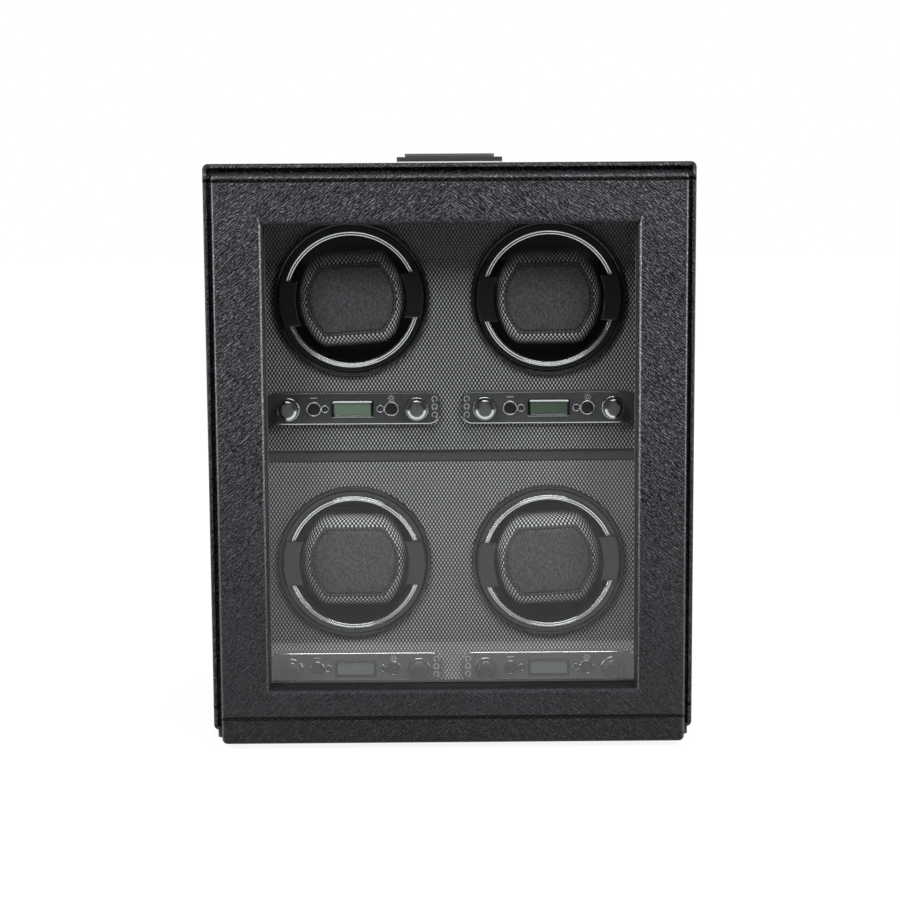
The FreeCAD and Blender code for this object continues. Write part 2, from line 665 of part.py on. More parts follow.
def chassis_plates():
    plates = []
    for row_name in ("lower", "upper"):
        z = MODULES[row_name + "_left"][1]
        width = COLUMN_SPACING + 2 * CHASSIS_MARGIN
        plate = rounded_plate(0, z, width, 2 * CHASSIS_HALF_HEIGHT, CHASSIS_CORNER, CHASSIS_Y, CHASSIS_BACK_Y)
        post_x = width / 2 - POST_INSET
        post_z = CHASSIS_HALF_HEIGHT - POST_INSET
        for x in (-post_x, 0, post_x):
            for dz in (-post_z, post_z):
                plate = plate.fuse(rod(x, z + dz, POST_RADIUS, FACE_BACK_Y, CHASSIS_Y))
        for x in (-COLUMN_SPACING / 2, COLUMN_SPACING / 2):
            plate = plate.fuse(rod(x, z, BUSH_RADIUS + BOSS_WALL, CHASSIS_BACK_Y, BUSH_END_Y))
            plate = plate.cut(rod(x, z, BUSH_RADIUS, CHASSIS_Y, BUSH_END_Y))
            hole = MOTOR_SHAFT_RADIUS + SHAFT_HOLE_ROOM
            plate = plate.cut(rod(x, z + GEAR_DISTANCE, hole, CHASSIS_Y, CHASSIS_BACK_Y))
        plates.append(one(plate))
    return Part.makeCompound(plates)


def gear_motors():
    motors = []
    for x, z in MODULES.values():
        motor_z = z + GEAR_DISTANCE
        end_y = CHASSIS_BACK_Y + GEARBOX_LENGTH
        motor = rod(x, motor_z, GEARBOX_RADIUS, CHASSIS_BACK_Y, end_y)
        motor = motor.fuse(rod(x, motor_z, MOTOR_RADIUS, end_y, end_y + MOTOR_LENGTH))
        bore_end = CHASSIS_BACK_Y + MOTOR_SHAFT_DEPTH + MOTOR_SHAFT_ROOM
        bore = rod(x, motor_z, MOTOR_SHAFT_RADIUS + SHAFT_CLEAR, CHASSIS_BACK_Y, bore_end)
        motors.append(one(motor.cut(bore)))
    return Part.makeCompound(motors)


def cuff_outline(flat, half_height, half_width, y):
    """The cuff's outline, flat above and below with bowed sides, upright at one depth."""
    right_high = vector(flat, y, half_height)
    right_low = vector(flat, y, -half_height)
    left_high = vector(-flat, y, half_height)
    left_low = vector(-flat, y, -half_height)
    edges = [
        Part.LineSegment(left_high, right_high).toShape(),
        Part.Arc(right_high, vector(half_width, y, 0), right_low).toShape(),
        Part.LineSegment(right_low, left_low).toShape(),
        Part.Arc(left_low, vector(-half_width, y, 0), left_high).toShape(),
    ]
    return Part.Wire(edges)


def cuff_section(shrink, y):
    return cuff_outline(
        CUFF_FLAT_HALF - shrink * CUFF_CORNER_DRAW,
        CUFF_HALF_HEIGHT - shrink,
        CUFF_HALF_WIDTH - shrink,
        y,
    )


def cuff_cushion(x, z, turn):
    """A crowned pad with drawn-in ends, and the leather face on its front."""
    sections = [
        cuff_section(CUFF_ROUND, CUFF_FRONT_Y + CUFF_CROWN),
        cuff_section(CUFF_ROUND_STEP, CUFF_FRONT_Y + CUFF_CROWN + CUFF_ROUND_STEP),
        cuff_section(0, CUFF_FRONT_Y + CUFF_CROWN + CUFF_ROUND),
        cuff_section(0, CUFF_BACK_Y - CUFF_ROUND),
        cuff_section(CUFF_ROUND_STEP, CUFF_BACK_Y - CUFF_ROUND_STEP),
        cuff_section(CUFF_ROUND, CUFF_BACK_Y),
    ]
    pad = Part.makeLoft(sections, True, True)
    outline = cuff_outline(
        CUFF_FLAT_HALF - FACE_PAD_FLAT_INSET,
        FACE_PAD_HALF_HEIGHT,
        FACE_PAD_HALF_WIDTH,
        CUFF_FRONT_Y + CUFF_CROWN - FACE_PAD_PROUD,
    )
    leather = Part.Face(outline).extrude(vector(0, FACE_PAD_PROUD, 0))
    return placed(Part.makeCompound([pad, one(leather.fuse(face_dome()))]), x, z, turn)


def face_dome():
    """The low crown in the middle of the leather face."""
    base_y = CUFF_FRONT_Y + CUFF_CROWN - FACE_PAD_PROUD
    rise = CUFF_CROWN - FACE_PAD_PROUD
    reach = FACE_PAD_HALF_HEIGHT - FACE_PAD_CROWN_INSET
    radius = (reach * reach + rise * rise) / (2 * rise)
    ball = Part.makeSphere(radius, vector(0, base_y - rise + radius, 0))
    return ball.common(block(-reach, reach, base_y - 2 * rise, base_y, -reach, reach))


def placed(shape, x, z, turn):
    """A shape made about the Y axis, turned anticlockwise as seen from the front and set on its drum."""
    shape = shape.copy()
    shape.rotate(vector(0, 0, 0), vector(0, -1, 0), turn)
    shape.translate(vector(x, 0, z))
    return shape


def cuff_clip(x, z, turn):
    """The sprung yoke of a cuff: two side plates, a bar behind the strap gap and two front tabs.

    The tabs' inner edges follow the cuff's bowed sides, and their outer edges the drum's rim.
    """
    inner = CUFF_HALF_WIDTH + CLIP_GAP
    outer = CLIP_OUTER_X
    end_y = CLIP_BAR_Y + CLIP_BAR_THICK
    front_y = TAB_BACK_Y - TAB_THICK
    yoke = block(-outer, outer, CLIP_BAR_Y, end_y, -CLIP_HALF_HEIGHT, CLIP_HALF_HEIGHT)
    rim = rod(0, 0, TAB_REACH, front_y, TAB_BACK_Y)
    for side in (-1, 1):
        x0, x1 = sorted((side * inner, side * outer))
        yoke = yoke.fuse(block(x0, x1, front_y, end_y, -CLIP_HALF_HEIGHT, CLIP_HALF_HEIGHT))
        x0, x1 = sorted((side * CUFF_FLAT_HALF, side * TAB_REACH))
        tab = block(x0, x1, front_y, TAB_BACK_Y, -TAB_HALF_HEIGHT, TAB_HALF_HEIGHT)
        bow_x = side * (CUFF_HALF_WIDTH - CUFF_SIDE_RADIUS)
        tab = tab.common(rim).cut(rod(bow_x, 0, CUFF_SIDE_RADIUS + CLIP_GAP, front_y, TAB_BACK_Y))
        yoke = yoke.fuse(tab)
    yoke = one(yoke)
    return placed(yoke.makeFillet(TAB_ROUND, edges_at_depth(yoke, front_y)), x, z, turn)


def control_panels():
    panels = []
    for x, drum_z in MODULES.values():
        z = drum_z - CONTROL_DROP
        panel = rounded_plate(x, z, PANEL_WIDTH, PANEL_HEIGHT, PANEL_CORNER, PANEL_Y, FACE_Y)
        panel = panel.makeFillet(PANEL_ROUND, edges_at_depth(panel, PANEL_Y))
        rim_y = PANEL_Y - SCREEN_RIM_PROUD
        panel = panel.fuse(screen_rim(x, z, rim_y))
        panel = panel.cut(rounded_plate(x, z, SCREEN_WIDTH, SCREEN_HEIGHT, SCREEN_CORNER, rim_y, FACE_Y))
        panel = panel.cut(screen_slope(x, z, rim_y))
        for side in (-1, 1):
            button_x = x + side * BUTTON_OFFSET
            hole_radius = BUTTON_RADIUS + BUTTON_ROOM
            panel = panel.cut(rod(button_x, z, hole_radius, PANEL_Y, FACE_Y))
            panel = panel.fuse(dished_collar(button_x, z, hole_radius, BUTTON_COLLAR))
            knob_hole = KNOB_SHAFT_RADIUS + KNOB_HOLE_ROOM
            panel = panel.cut(rod(x + side * KNOB_OFFSET, z, knob_hole, PANEL_Y, FACE_Y))
            lamp_x = x + side * LAMP_OFFSET
            lamp_hole = LAMP_RADIUS + FIT_CLEAR
            panel = panel.cut(rod(lamp_x, z, lamp_hole, PANEL_Y, FACE_Y))
            panel = panel.fuse(dished_collar(lamp_x, z, lamp_hole, LAMP_COLLAR))
            panel = panel.fuse(rod(x + side * BOARD_POST_OFFSET, z, BOARD_POST_RADIUS, FACE_Y, BOARD_Y))
        panels.append(one(panel))
    return Part.makeCompound(panels)


def screen_rim(x, z, rim_y):
    """The raised frame round a screen, rounded over towards the panel."""
    width = SCREEN_WIDTH + 2 * SCREEN_RIM
    height = SCREEN_HEIGHT + 2 * SCREEN_RIM
    rim = rounded_plate(x, z, width, height, RIM_CORNER, rim_y, PANEL_Y)
    return rim.makeFillet(RIM_ROUND, edges_at_depth(rim, rim_y))


def screen_slope(x, z, rim_y):
    """The space in front of a screen, whose four sides slope in from the rim's front."""
    wires = []
    for flare, y in ((RIM_SLOPE, rim_y), (0.0, rim_y + RIM_SLOPE_DEPTH)):
        width = SCREEN_WIDTH + 2 * flare
        height = SCREEN_HEIGHT + 2 * flare
        plate = rounded_plate(x, z, width, height, SCREEN_CORNER + flare, y, y + SCREEN_THICK)
        wires.append(next(face for face in plate.Faces if abs(face.BoundBox.YMax - y) < 1e-4).OuterWire)
    return Part.makeLoft(wires, True, True)


def dished_collar(x, z, hole_radius, width):
    """A raised ring round a hole in a panel, its front sloping in to the hole."""
    front = PANEL_Y - COLLAR_PROUD
    return turned([
        (hole_radius, PANEL_Y),
        (hole_radius, front + COLLAR_SLOPE_DEPTH),
        (hole_radius + width - COLLAR_EDGE, front),
        (hole_radius + width, front),
        (hole_radius + width, PANEL_Y),
    ], x, z)


def display_lenses():
    lenses = []
    for x, drum_z in MODULES.values():
        z = drum_z - CONTROL_DROP
        width = SCREEN_WIDTH - 2 * FIT_CLEAR
        height = SCREEN_HEIGHT - 2 * FIT_CLEAR
        front = PANEL_Y - SCREEN_RIM_PROUD + SCREEN_SINK
        lenses.append(rounded_plate(x, z, width, height, SCREEN_CORNER, front, front + SCREEN_THICK))
        for side in (-1, 1):
            lenses.append(lamp(x + side * LAMP_OFFSET, z))
    return Part.makeCompound(lenses)


def lamp(x, z):
    """A small domed indicator lens."""
    front = PANEL_Y - LAMP_PROUD
    ball_radius = (LAMP_RADIUS ** 2 + LAMP_PROUD ** 2) / (2 * LAMP_PROUD)
    dome = dome_points(LAMP_FLAT, LAMP_RADIUS, ball_radius, front)
    return turned([(0, front), *dome, (LAMP_RADIUS, FACE_Y), (0, FACE_Y)], x, z)


def control_boards():
    boards = []
    for x, drum_z in MODULES.values():
        z = drum_z - CONTROL_DROP
        width = PANEL_WIDTH - 2 * PANEL_LAP - 2 * BOARD_CLEAR
        height = PANEL_HEIGHT - 2 * PANEL_LAP - 2 * BOARD_CLEAR
        board = rounded_plate(x, z, width, height, PANEL_CORNER / 2, BOARD_Y, BOARD_Y + BOARD_THICK)
        for side in (-1, 1):
            knob_x = x + side * KNOB_OFFSET
            front = FACE_Y + BUTTON_TRAVEL
            half = ENCODER_SIZE / 2
            board = board.fuse(block(knob_x - half, knob_x + half, front, BOARD_Y, z - half, z + half))
            bore = KNOB_SHAFT_RADIUS + KNOB_SHAFT_CLEAR
            board = board.cut(rod(knob_x, z, bore, front, BOARD_Y))
            button_x = x + side * BUTTON_OFFSET
            front = switch_front()
            half = SWITCH_SIZE / 2
            board = board.fuse(block(button_x - half, button_x + half, front, BOARD_Y, z - half, z + half))
        boards.append(one(board))
    return Part.makeCompound(boards)


def button_flange_y():
    return FACE_Y + BUTTON_ROOM


def switch_front():
    """The key switch waits behind the button's stem by its travel and a little room."""
    stem_end = button_flange_y() + BUTTON_FLANGE_THICK + BUTTON_STEM_LENGTH
    return stem_end + BUTTON_TRAVEL + BUTTON_ROOM


def knob(x, z):
    """A turning knob: a round skirt, a flat-faced head with an index dimple, and the shaft."""
    back = PANEL_Y - KNOB_GAP
    front = back - KNOB_LENGTH
    skirt_y = back - KNOB_SKIRT
    shaft_end = BOARD_Y - KNOB_GAP
    ball_radius = (KNOB_HEAD_RADIUS ** 2 + KNOB_DOME ** 2) / (2 * KNOB_DOME)
    corner = KNOB_ROUND * (1 - math.sqrt(0.5))
    profile = [
        (0, front),
        *dome_points(KNOB_FLAT, KNOB_HEAD_RADIUS, ball_radius, front),
        (KNOB_HEAD_RADIUS, skirt_y),
        (KNOB_RADIUS - KNOB_ROUND, skirt_y),
        (KNOB_RADIUS - corner, skirt_y + corner, "arc"),
        (KNOB_RADIUS, skirt_y + KNOB_ROUND),
        (KNOB_RADIUS, back),
        (KNOB_SHAFT_RADIUS, back),
        (KNOB_SHAFT_RADIUS, shaft_end),
        (0, shaft_end),
    ]
    reach = KNOB_HEAD_RADIUS - KNOB_MARK_INSET
    angle = math.radians(KNOB_MARK_ANGLE)
    mark_x = x + reach * math.cos(angle)
    mark_z = z + reach * math.sin(angle)
    mark = rod(mark_x, mark_z, KNOB_MARK_RADIUS, front, front + KNOB_MARK_DEPTH)
    return one(turned(profile, x, z).cut(mark))


def button(x, z):
    """A key cap held behind the panel by its flange, with a stem that meets the switch."""
    front = PANEL_Y - BUTTON_PROUD
    flange = button_flange_y()
    stem = flange + BUTTON_FLANGE_THICK
    profile = [
        (0, front),
        (BUTTON_RADIUS, front),
        (BUTTON_RADIUS, flange),
        (BUTTON_RADIUS + BUTTON_FLANGE, flange),
        (BUTTON_RADIUS + BUTTON_FLANGE, stem),
        (BUTTON_STEM_RADIUS, stem),
        (BUTTON_STEM_RADIUS, stem + BUTTON_STEM_LENGTH),
        (0, stem + BUTTON_STEM_LENGTH),
    ]
    cap = turned(profile, x, z)
    return cap.makeFillet(BUTTON_ROUND, edges_at_depth(cap, front))


NODES = {
    "cabinet_shell": cabinet_shell(),
    "back_panel": back_panel(),
    "power_socket": power_socket(),
    "base_plinth": base_plinth(),
    "shelf_board": shelf_board(),
    "faceplates": faceplates(),
    "door_frame": door_frame(),
    "door_glass": door_glass(),
    "glass_retainer": glass_retainer(),
    "hinge_arms": hinge_arms(),
    "hinge_pins": hinge_pins(),
    "latch_base": latch_base(),
    "latch_slider": latch_slider(),
    "drum_bezels": drum_bezels(),
    "shaft_bearings": shaft_bearings(),
    "chassis_plates": chassis_plates(),
    "gear_motors": gear_motors(),
    "control_panels": control_panels(),
    "display_lenses": display_lenses(),
    "control_boards": control_boards(),
}
for place, (drum_x, drum_z) in MODULES.items():
    NODES["drum_cup_" + place] = drum_cup(drum_x, drum_z)
    NODES["trim_ring_" + place] = trim_ring(drum_x, drum_z)
    NODES["drive_gear_" + place] = drive_gear(drum_x, drum_z)
    NODES["motor_pinion_" + place] = motor_pinion(drum_x, drum_z)
    NODES["cuff_cushion_" + place] = cuff_cushion(drum_x, drum_z, CUFF_TURNS[place])
    NODES["cuff_clip_" + place] = cuff_clip(drum_x, drum_z, CUFF_TURNS[place])
    for hand, side in (("left", -1), ("right", 1)):
        control_z = drum_z - CONTROL_DROP
        NODES["knob_" + place + "_" + hand] = knob(drum_x + side * KNOB_OFFSET, control_z)
        NODES["button_" + place + "_" + hand] = button(drum_x + side * BUTTON_OFFSET, control_z)

os.makedirs("parts", exist_ok=True)
for node_name, shape in NODES.items():
    shape.exportStep("parts/" + node_name + ".step")
    print(node_name, len(shape.Solids), round(shape.Volume, 1), shape.isValid())
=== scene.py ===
import json
import math

import bmesh
import bpy
from mathutils import Matrix, Vector
from mathutils.bvhtree import BVHTree


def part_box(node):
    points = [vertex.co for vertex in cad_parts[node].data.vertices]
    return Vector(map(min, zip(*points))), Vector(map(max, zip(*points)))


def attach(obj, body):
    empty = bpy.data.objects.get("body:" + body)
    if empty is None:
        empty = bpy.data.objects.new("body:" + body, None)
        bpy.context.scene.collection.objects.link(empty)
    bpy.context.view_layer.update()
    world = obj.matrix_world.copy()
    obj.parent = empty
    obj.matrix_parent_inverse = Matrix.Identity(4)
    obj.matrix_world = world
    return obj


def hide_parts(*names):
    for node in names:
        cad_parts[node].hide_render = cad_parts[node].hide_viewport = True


# Watch winder box: finishes, soft pieces, stitching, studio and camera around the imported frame.
# Metres, +Z up, the door faces -Y. Sizes below are in millimetres where MM follows them.

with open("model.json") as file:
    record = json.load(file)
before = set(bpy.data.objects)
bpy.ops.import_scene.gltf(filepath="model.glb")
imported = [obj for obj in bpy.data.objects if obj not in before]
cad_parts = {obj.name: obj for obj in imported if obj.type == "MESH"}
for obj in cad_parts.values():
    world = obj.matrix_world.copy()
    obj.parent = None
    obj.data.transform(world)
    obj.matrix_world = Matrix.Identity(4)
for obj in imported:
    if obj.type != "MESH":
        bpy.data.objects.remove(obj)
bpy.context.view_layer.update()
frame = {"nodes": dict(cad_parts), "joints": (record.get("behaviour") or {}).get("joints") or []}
NODES = frame["nodes"]
MM = 0.001
PLACES = ("upper_left", "upper_right", "lower_left", "lower_right")
AXES = {j["name"]: Vector(j["pos_m"]) for j in frame["joints"] if "pos_m" in j}
DRUMS = {place: AXES["drum_spin_" + place] for place in PLACES}

# Camera
CAMERA_PLACE = (-0.0084, -1.2205, 0.317)
CAMERA_PITCH = 7.75
CAMERA_YAW = -0.386
CAMERA_ROLL = -0.349
CAMERA_LENS = 83.94
SENSOR_WIDTH = 36.0

# Woven cloth: the repeat of its checks across and up, how much larger they are on the cuffs, and their
# tones. The cuffs' checks are painted lighter than the faceplate's: painted light on their rolled pads.
WEAVE_ACROSS = 2.0 * MM
WEAVE_UP = 3.2 * MM
CUFF_WEAVE = 1.2
FACEPLATE_CHECKS = ((0.40, 0.40, 0.41), (0.56, 0.56, 0.57))
CUFF_CHECKS_PAINTED_LIGHTER = ((0.62, 0.62, 0.63), (0.80, 0.80, 0.81))

# Leather: how far its strokes slope down to each side, how they are drawn out along that slope, the gap
# between them and how far they wander, then the scales of its patterns and the depths of its relief. The
# strokes carry a painted highlight, sloping away from the middle as the lamps' glints do. Over the first
# pair of heights the door's grain gets deeper and its painted shade fades out; over the second its edges'
# painted highlight, with some wear, gets lighter.
GRAIN_LEAN = math.radians(40)
GRAIN_DRAW = (3.0, 1.0, 1.0)
GRAIN_PITCH = 1.10 * MM
GRAIN_WANDER = 16.0
WANDER_SCALE = 700.0
STROKE_SCALE = 2500.0
CREASE_SCALE = 1250.0
SWAY_SCALE = 164.0
SWAY_REACH = 1.6 * MM
GRAIN_DEPTH = 0.30 * MM
FINE_DEPTH = 0.05 * MM
SEAM_DEPTH = 0.45 * MM
SEAM_CHANNEL = (0.5 * MM, 1.4 * MM)
CALM_AND_SHADE_HEIGHTS = (30.0 * MM, 200.0 * MM)
HIGHLIGHT_HEIGHTS = (60.0 * MM, 220.0 * MM)

# Door and case seams: their heights, then the pitch, length, thickness and slant of the stitches and where
# the rows end
DOOR_LOW, DOOR_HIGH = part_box("door_frame")
CASE_LOW, CASE_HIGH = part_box("cabinet_shell")
TOP_SEAM_Z = DOOR_HIGH.z - 3.6 * MM
BOTTOM_SEAM_Z = DOOR_LOW.z + 14.5 * MM
SEAMS = (TOP_SEAM_Z, BOTTOM_SEAM_Z)
SEAM_PITCH = 3.65 * MM
SEAM_STITCH = 2.3 * MM
SEAM_THREAD = 0.42 * MM
SEAM_SLANT = 9.0
SEAM_END = 4.0 * MM
SEAM_DOOR_BACK = 1.5 * MM

# Window: its pane's gloss, its half width and top in the frame, and the rolled leather lip below that top
PANE_IOR = 1.8
WINDOW_HALF = 100.0 * MM
WINDOW_TOP = 288.0 * MM
LIP_DROP = 2.6 * MM
LIP_ROLL = 4.0 * MM
LIP_SKIN = 0.04 * MM
LIP_STEPS = 12
LIP_END_STEPS = 6

# Watch cuffs, about each drum's axis. FACE_INSETS are the distances in from the leather face's edge, in
# millimetres, at which its profile is drawn.
CUFF_TURNS = {"upper_left": 4.0, "upper_right": 0.5, "lower_left": 0.0, "lower_right": 3.0}
CUFF_HALF_WIDTH = 30.2 * MM
CUFF_HALF_HEIGHT = 26.2 * MM
CUFF_FLAT = 18.0 * MM
CUFF_ROUND = 7.0 * MM
CUFF_CROWN = 1.6 * MM
FACE_MARGIN_X = 5.0 * MM
FACE_MARGIN_Z = 6.3 * MM
FACE_FLAT = 16.0 * MM
FACE_THICK = 0.8 * MM
FACE_ROLL = 0.9 * MM
FACE_CROWN = 0.5 * MM
FACE_CROWN_RUN = 6.0 * MM
FACE_BED = 0.1 * MM
GROOVE_DEPTH = 0.50 * MM
GROOVE_HALF = 0.55 * MM
FACE_STITCH_INSET = 1.7 * MM
FACE_STITCH_PITCH = 2.35 * MM
FACE_STITCH = 1.5 * MM
FACE_THREAD = 0.40 * MM
FACE_INSETS = (0.0, 0.12, 0.3, 0.55, 0.9, 1.2, 1.45, 1.7, 1.95, 2.2, 2.6, 3.2,
               4.2, 5.6, 7.4, 9.6, 12.0, 14.5, 17.0)
FACE_STEP = 0.9 * MM
FACE_REACH = 50.0 * MM
PAD_STEP = 1.6 * MM
PAD_EDGE_STEPS = 5
PAD_SIDE_STEPS = 14
PAD_VOXEL = 2.2 * MM
PAD_PRESSURE = 4.0
PAD_SWELL = 1.2 * MM
PAD_FRAMES = 20

# Latch: the height of its plate, how far its runner stays inside the slider's outline and how thick it is
PLATE_TOP = 0.55 * MM
PLATE_BLEND = 0.10 * MM
RUNNER_INSET = 0.4 * MM
RUNNER_THICK = 0.27 * MM

# Trim rings: as in the frame, and how far the beads stand off their edges
TRIM_WIDTH = 2.5 * MM
TRIM_ROUND = 0.6 * MM
BEAD_LIFT = 0.20 * MM

# Control panels, about each panel's centre. Each ring has an offset, a radius and a wire's radius.
PANEL_Z = {place: AXES["knob_turn_" + place + "_left"].z for place in PLACES}
PANEL_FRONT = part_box("control_panels")[0].y + 0.7 * MM
SHELF_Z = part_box("shelf_board")[0].z
KNOB_OFFSET = AXES["knob_turn_upper_right_right"].x - DRUMS["upper_right"].x
BUTTON_OFFSET = sum(corner.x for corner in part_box("button_upper_right_right")) / 2 - DRUMS["upper_right"].x
LAMP_OFFSET = BUTTON_OFFSET - 6.2 * MM
LAMP_REACH = 13.5 * MM
SCREEN_EDGE = (9.4 * MM, 11.6 * MM)
# Painted shadow of the rim on each screen's top, between these heights above its middle
SCREEN_SHADE = (1.4 * MM, 3.4 * MM)
SCREEN_DARK = (0.03, 0.05, 0.035)
SCREEN_BLEND = 70.0 * MM
PANEL_RINGS = ((BUTTON_OFFSET, 3.75 * MM, 0.52 * MM), (LAMP_OFFSET, 1.9 * MM, 0.38 * MM))
RING_PROUD = 0.5 * MM
PRINT_LIFT = 0.04 * MM
PRINT_LINE = 0.5 * MM
SIGN_RISE = 6.2 * MM
MINUS_HALF = 2.0 * MM
SUN_DROP = 0.4 * MM
SUN_RADIUS = 0.9 * MM
SUN_LINE = 0.4 * MM
SUN_RAY = (1.35 * MM, 2.1 * MM)
MODE_ASIDE = 10.0 * MM
MODE_RISES = (5.3 * MM, 1.0 * MM, -3.6 * MM)
MODE_RADIUS = 1.45 * MM
MODE_ARC = (-50, 230)
MODE_WAYS = ((1,), (1, -1), (-1,))

# Studio: where the white table ends and the glow beyond it. Outer faces mirror all of the table in front of
# NEAR_EDGE and a share of the rest. BOUNCE is what the floor gives back to matte faces. Each soft box has a
# place, a size, a power and whether shiny faces mirror it.
FLOOR_HALF = 6.0
FLOOR_GREY = (0.12, 0.12, 0.12)
FLOOR_WHITE = 0.90
FLOOR_FADE = (0.3, 0.9)
TABLE_EDGE = 1.25
TABLE_FADE = 0.12
ROOM_GLOW = 0.05
NEAR_EDGE = 0.335
NEAR_FADE = 0.012
OUTSIDE_SHARE = 0.25
BOUNCE = 0.12
LIGHT_TARGET = (0.0, -0.08, 0.2)
LIGHTS = (
    ("light_above", (0.0, -0.12, 1.35), (1.1, 0.75), 4.0, True),
    ("light_left", (-0.55, -1.00, 0.85), (0.32, 0.32), 8.5, False),
    ("light_right", (0.60, -1.00, 0.85), (0.32, 0.32), 7.5, False),
    ("light_back", (0.35, 1.15, 0.75), (0.60, 0.60), 9.0, False),
    ("strip_above", (0.0, -0.75, 1.15), (1.0, 0.35), 6.0, True),
    ("strip_left", (-1.00, -0.42, 0.50), (0.24, 0.80), 5.0, True),
    ("strip_right", (1.00, -0.42, 0.50), (0.24, 0.80), 5.0, True),
)


class Graph:
    """A material's node tree, written as nested calls that return sockets."""

    def __init__(self, name):
        self.material = bpy.data.materials.new(name)
        self.material.use_nodes = True
        self.tree = self.material.node_tree
        self.shader = self.tree.nodes["Principled BSDF"]

    def put(self, socket, value):
        if isinstance(value, bpy.types.NodeSocket):
            self.tree.links.new(value, socket)
        elif hasattr(value, "__len__") and len(value) == 3 and socket.type == "RGBA":
            socket.default_value = (*value, 1.0)
        else:
            socket.default_value = value

    def node(self, kind, inputs, output=0, **settings):
        made = self.tree.nodes.new(kind)
        for key, value in settings.items():
            setattr(made, key, value)
        for key, value in inputs.items():
            self.put(made.inputs[key], value)
        return made.outputs[output]

    def math(self, operation, *values):
        return self.node("ShaderNodeMath", dict(enumerate(values)), operation=operation)

    def mix(self, factor, low, high):
        keys = {0: factor, 6: low, 7: high}
        return self.node("ShaderNodeMix", keys, output=2, data_type="RGBA")

    def span(self, value, low, high, to_low=0.0, to_high=1.0):
        """A smooth step of value from low..high to to_low..to_high."""
        keys = {0: value, 1: low, 2: high, 3: to_low, 4: to_high}
        return self.node("ShaderNodeMapRange", keys, interpolation_type="SMOOTHSTEP")

    def place(self):
        return self.node("ShaderNodeTexCoord", {}, output="Object")

    def parts(self, vector):
        split = self.tree.nodes.new("ShaderNodeSeparateXYZ")
        self.tree.links.new(vector, split.inputs[0])
        return split.outputs[0], split.outputs[1], split.outputs[2]

    def axes(self, source="Object"):
        """The three parts of a surface point's place, or of its normal, in the object's own axes."""
        return self.parts(self.node("ShaderNodeTexCoord", {}, output=source))

    def stretched(self, rotation=(0, 0, 0), scale=(1, 1, 1)):
        turns = tuple(math.radians(angle) for angle in rotation)
        return self.node("ShaderNodeMapping", {"Vector": self.place(), "Rotation": turns, "Scale": scale})

    def noise(self, scale, detail=2.0, vector=None, output="Fac"):
        keys = {"Vector": vector or self.place(), "Scale": scale, "Detail": detail}
        return self.node("ShaderNodeTexNoise", keys, output=output)

    def bump(self, height):
        """A bump from a height in metres."""
        keys = {"Height": height, "Distance": 1.0, "Strength": 1.0}
        self.put(self.shader.inputs["Normal"], self.node("ShaderNodeBump", keys))

    def set(self, **values):
        names = {
            "color": "Base Color", "rough": "Roughness", "metal": "Metallic",
            "specular": "Specular IOR Level", "coat": "Coat Weight", "coat_rough": "Coat Roughness",
            "sheen": "Sheen Weight", "sheen_rough": "Sheen Roughness",
        }
        for key, value in values.items():
            self.put(self.shader.inputs[names[key]], value)
        return self.material


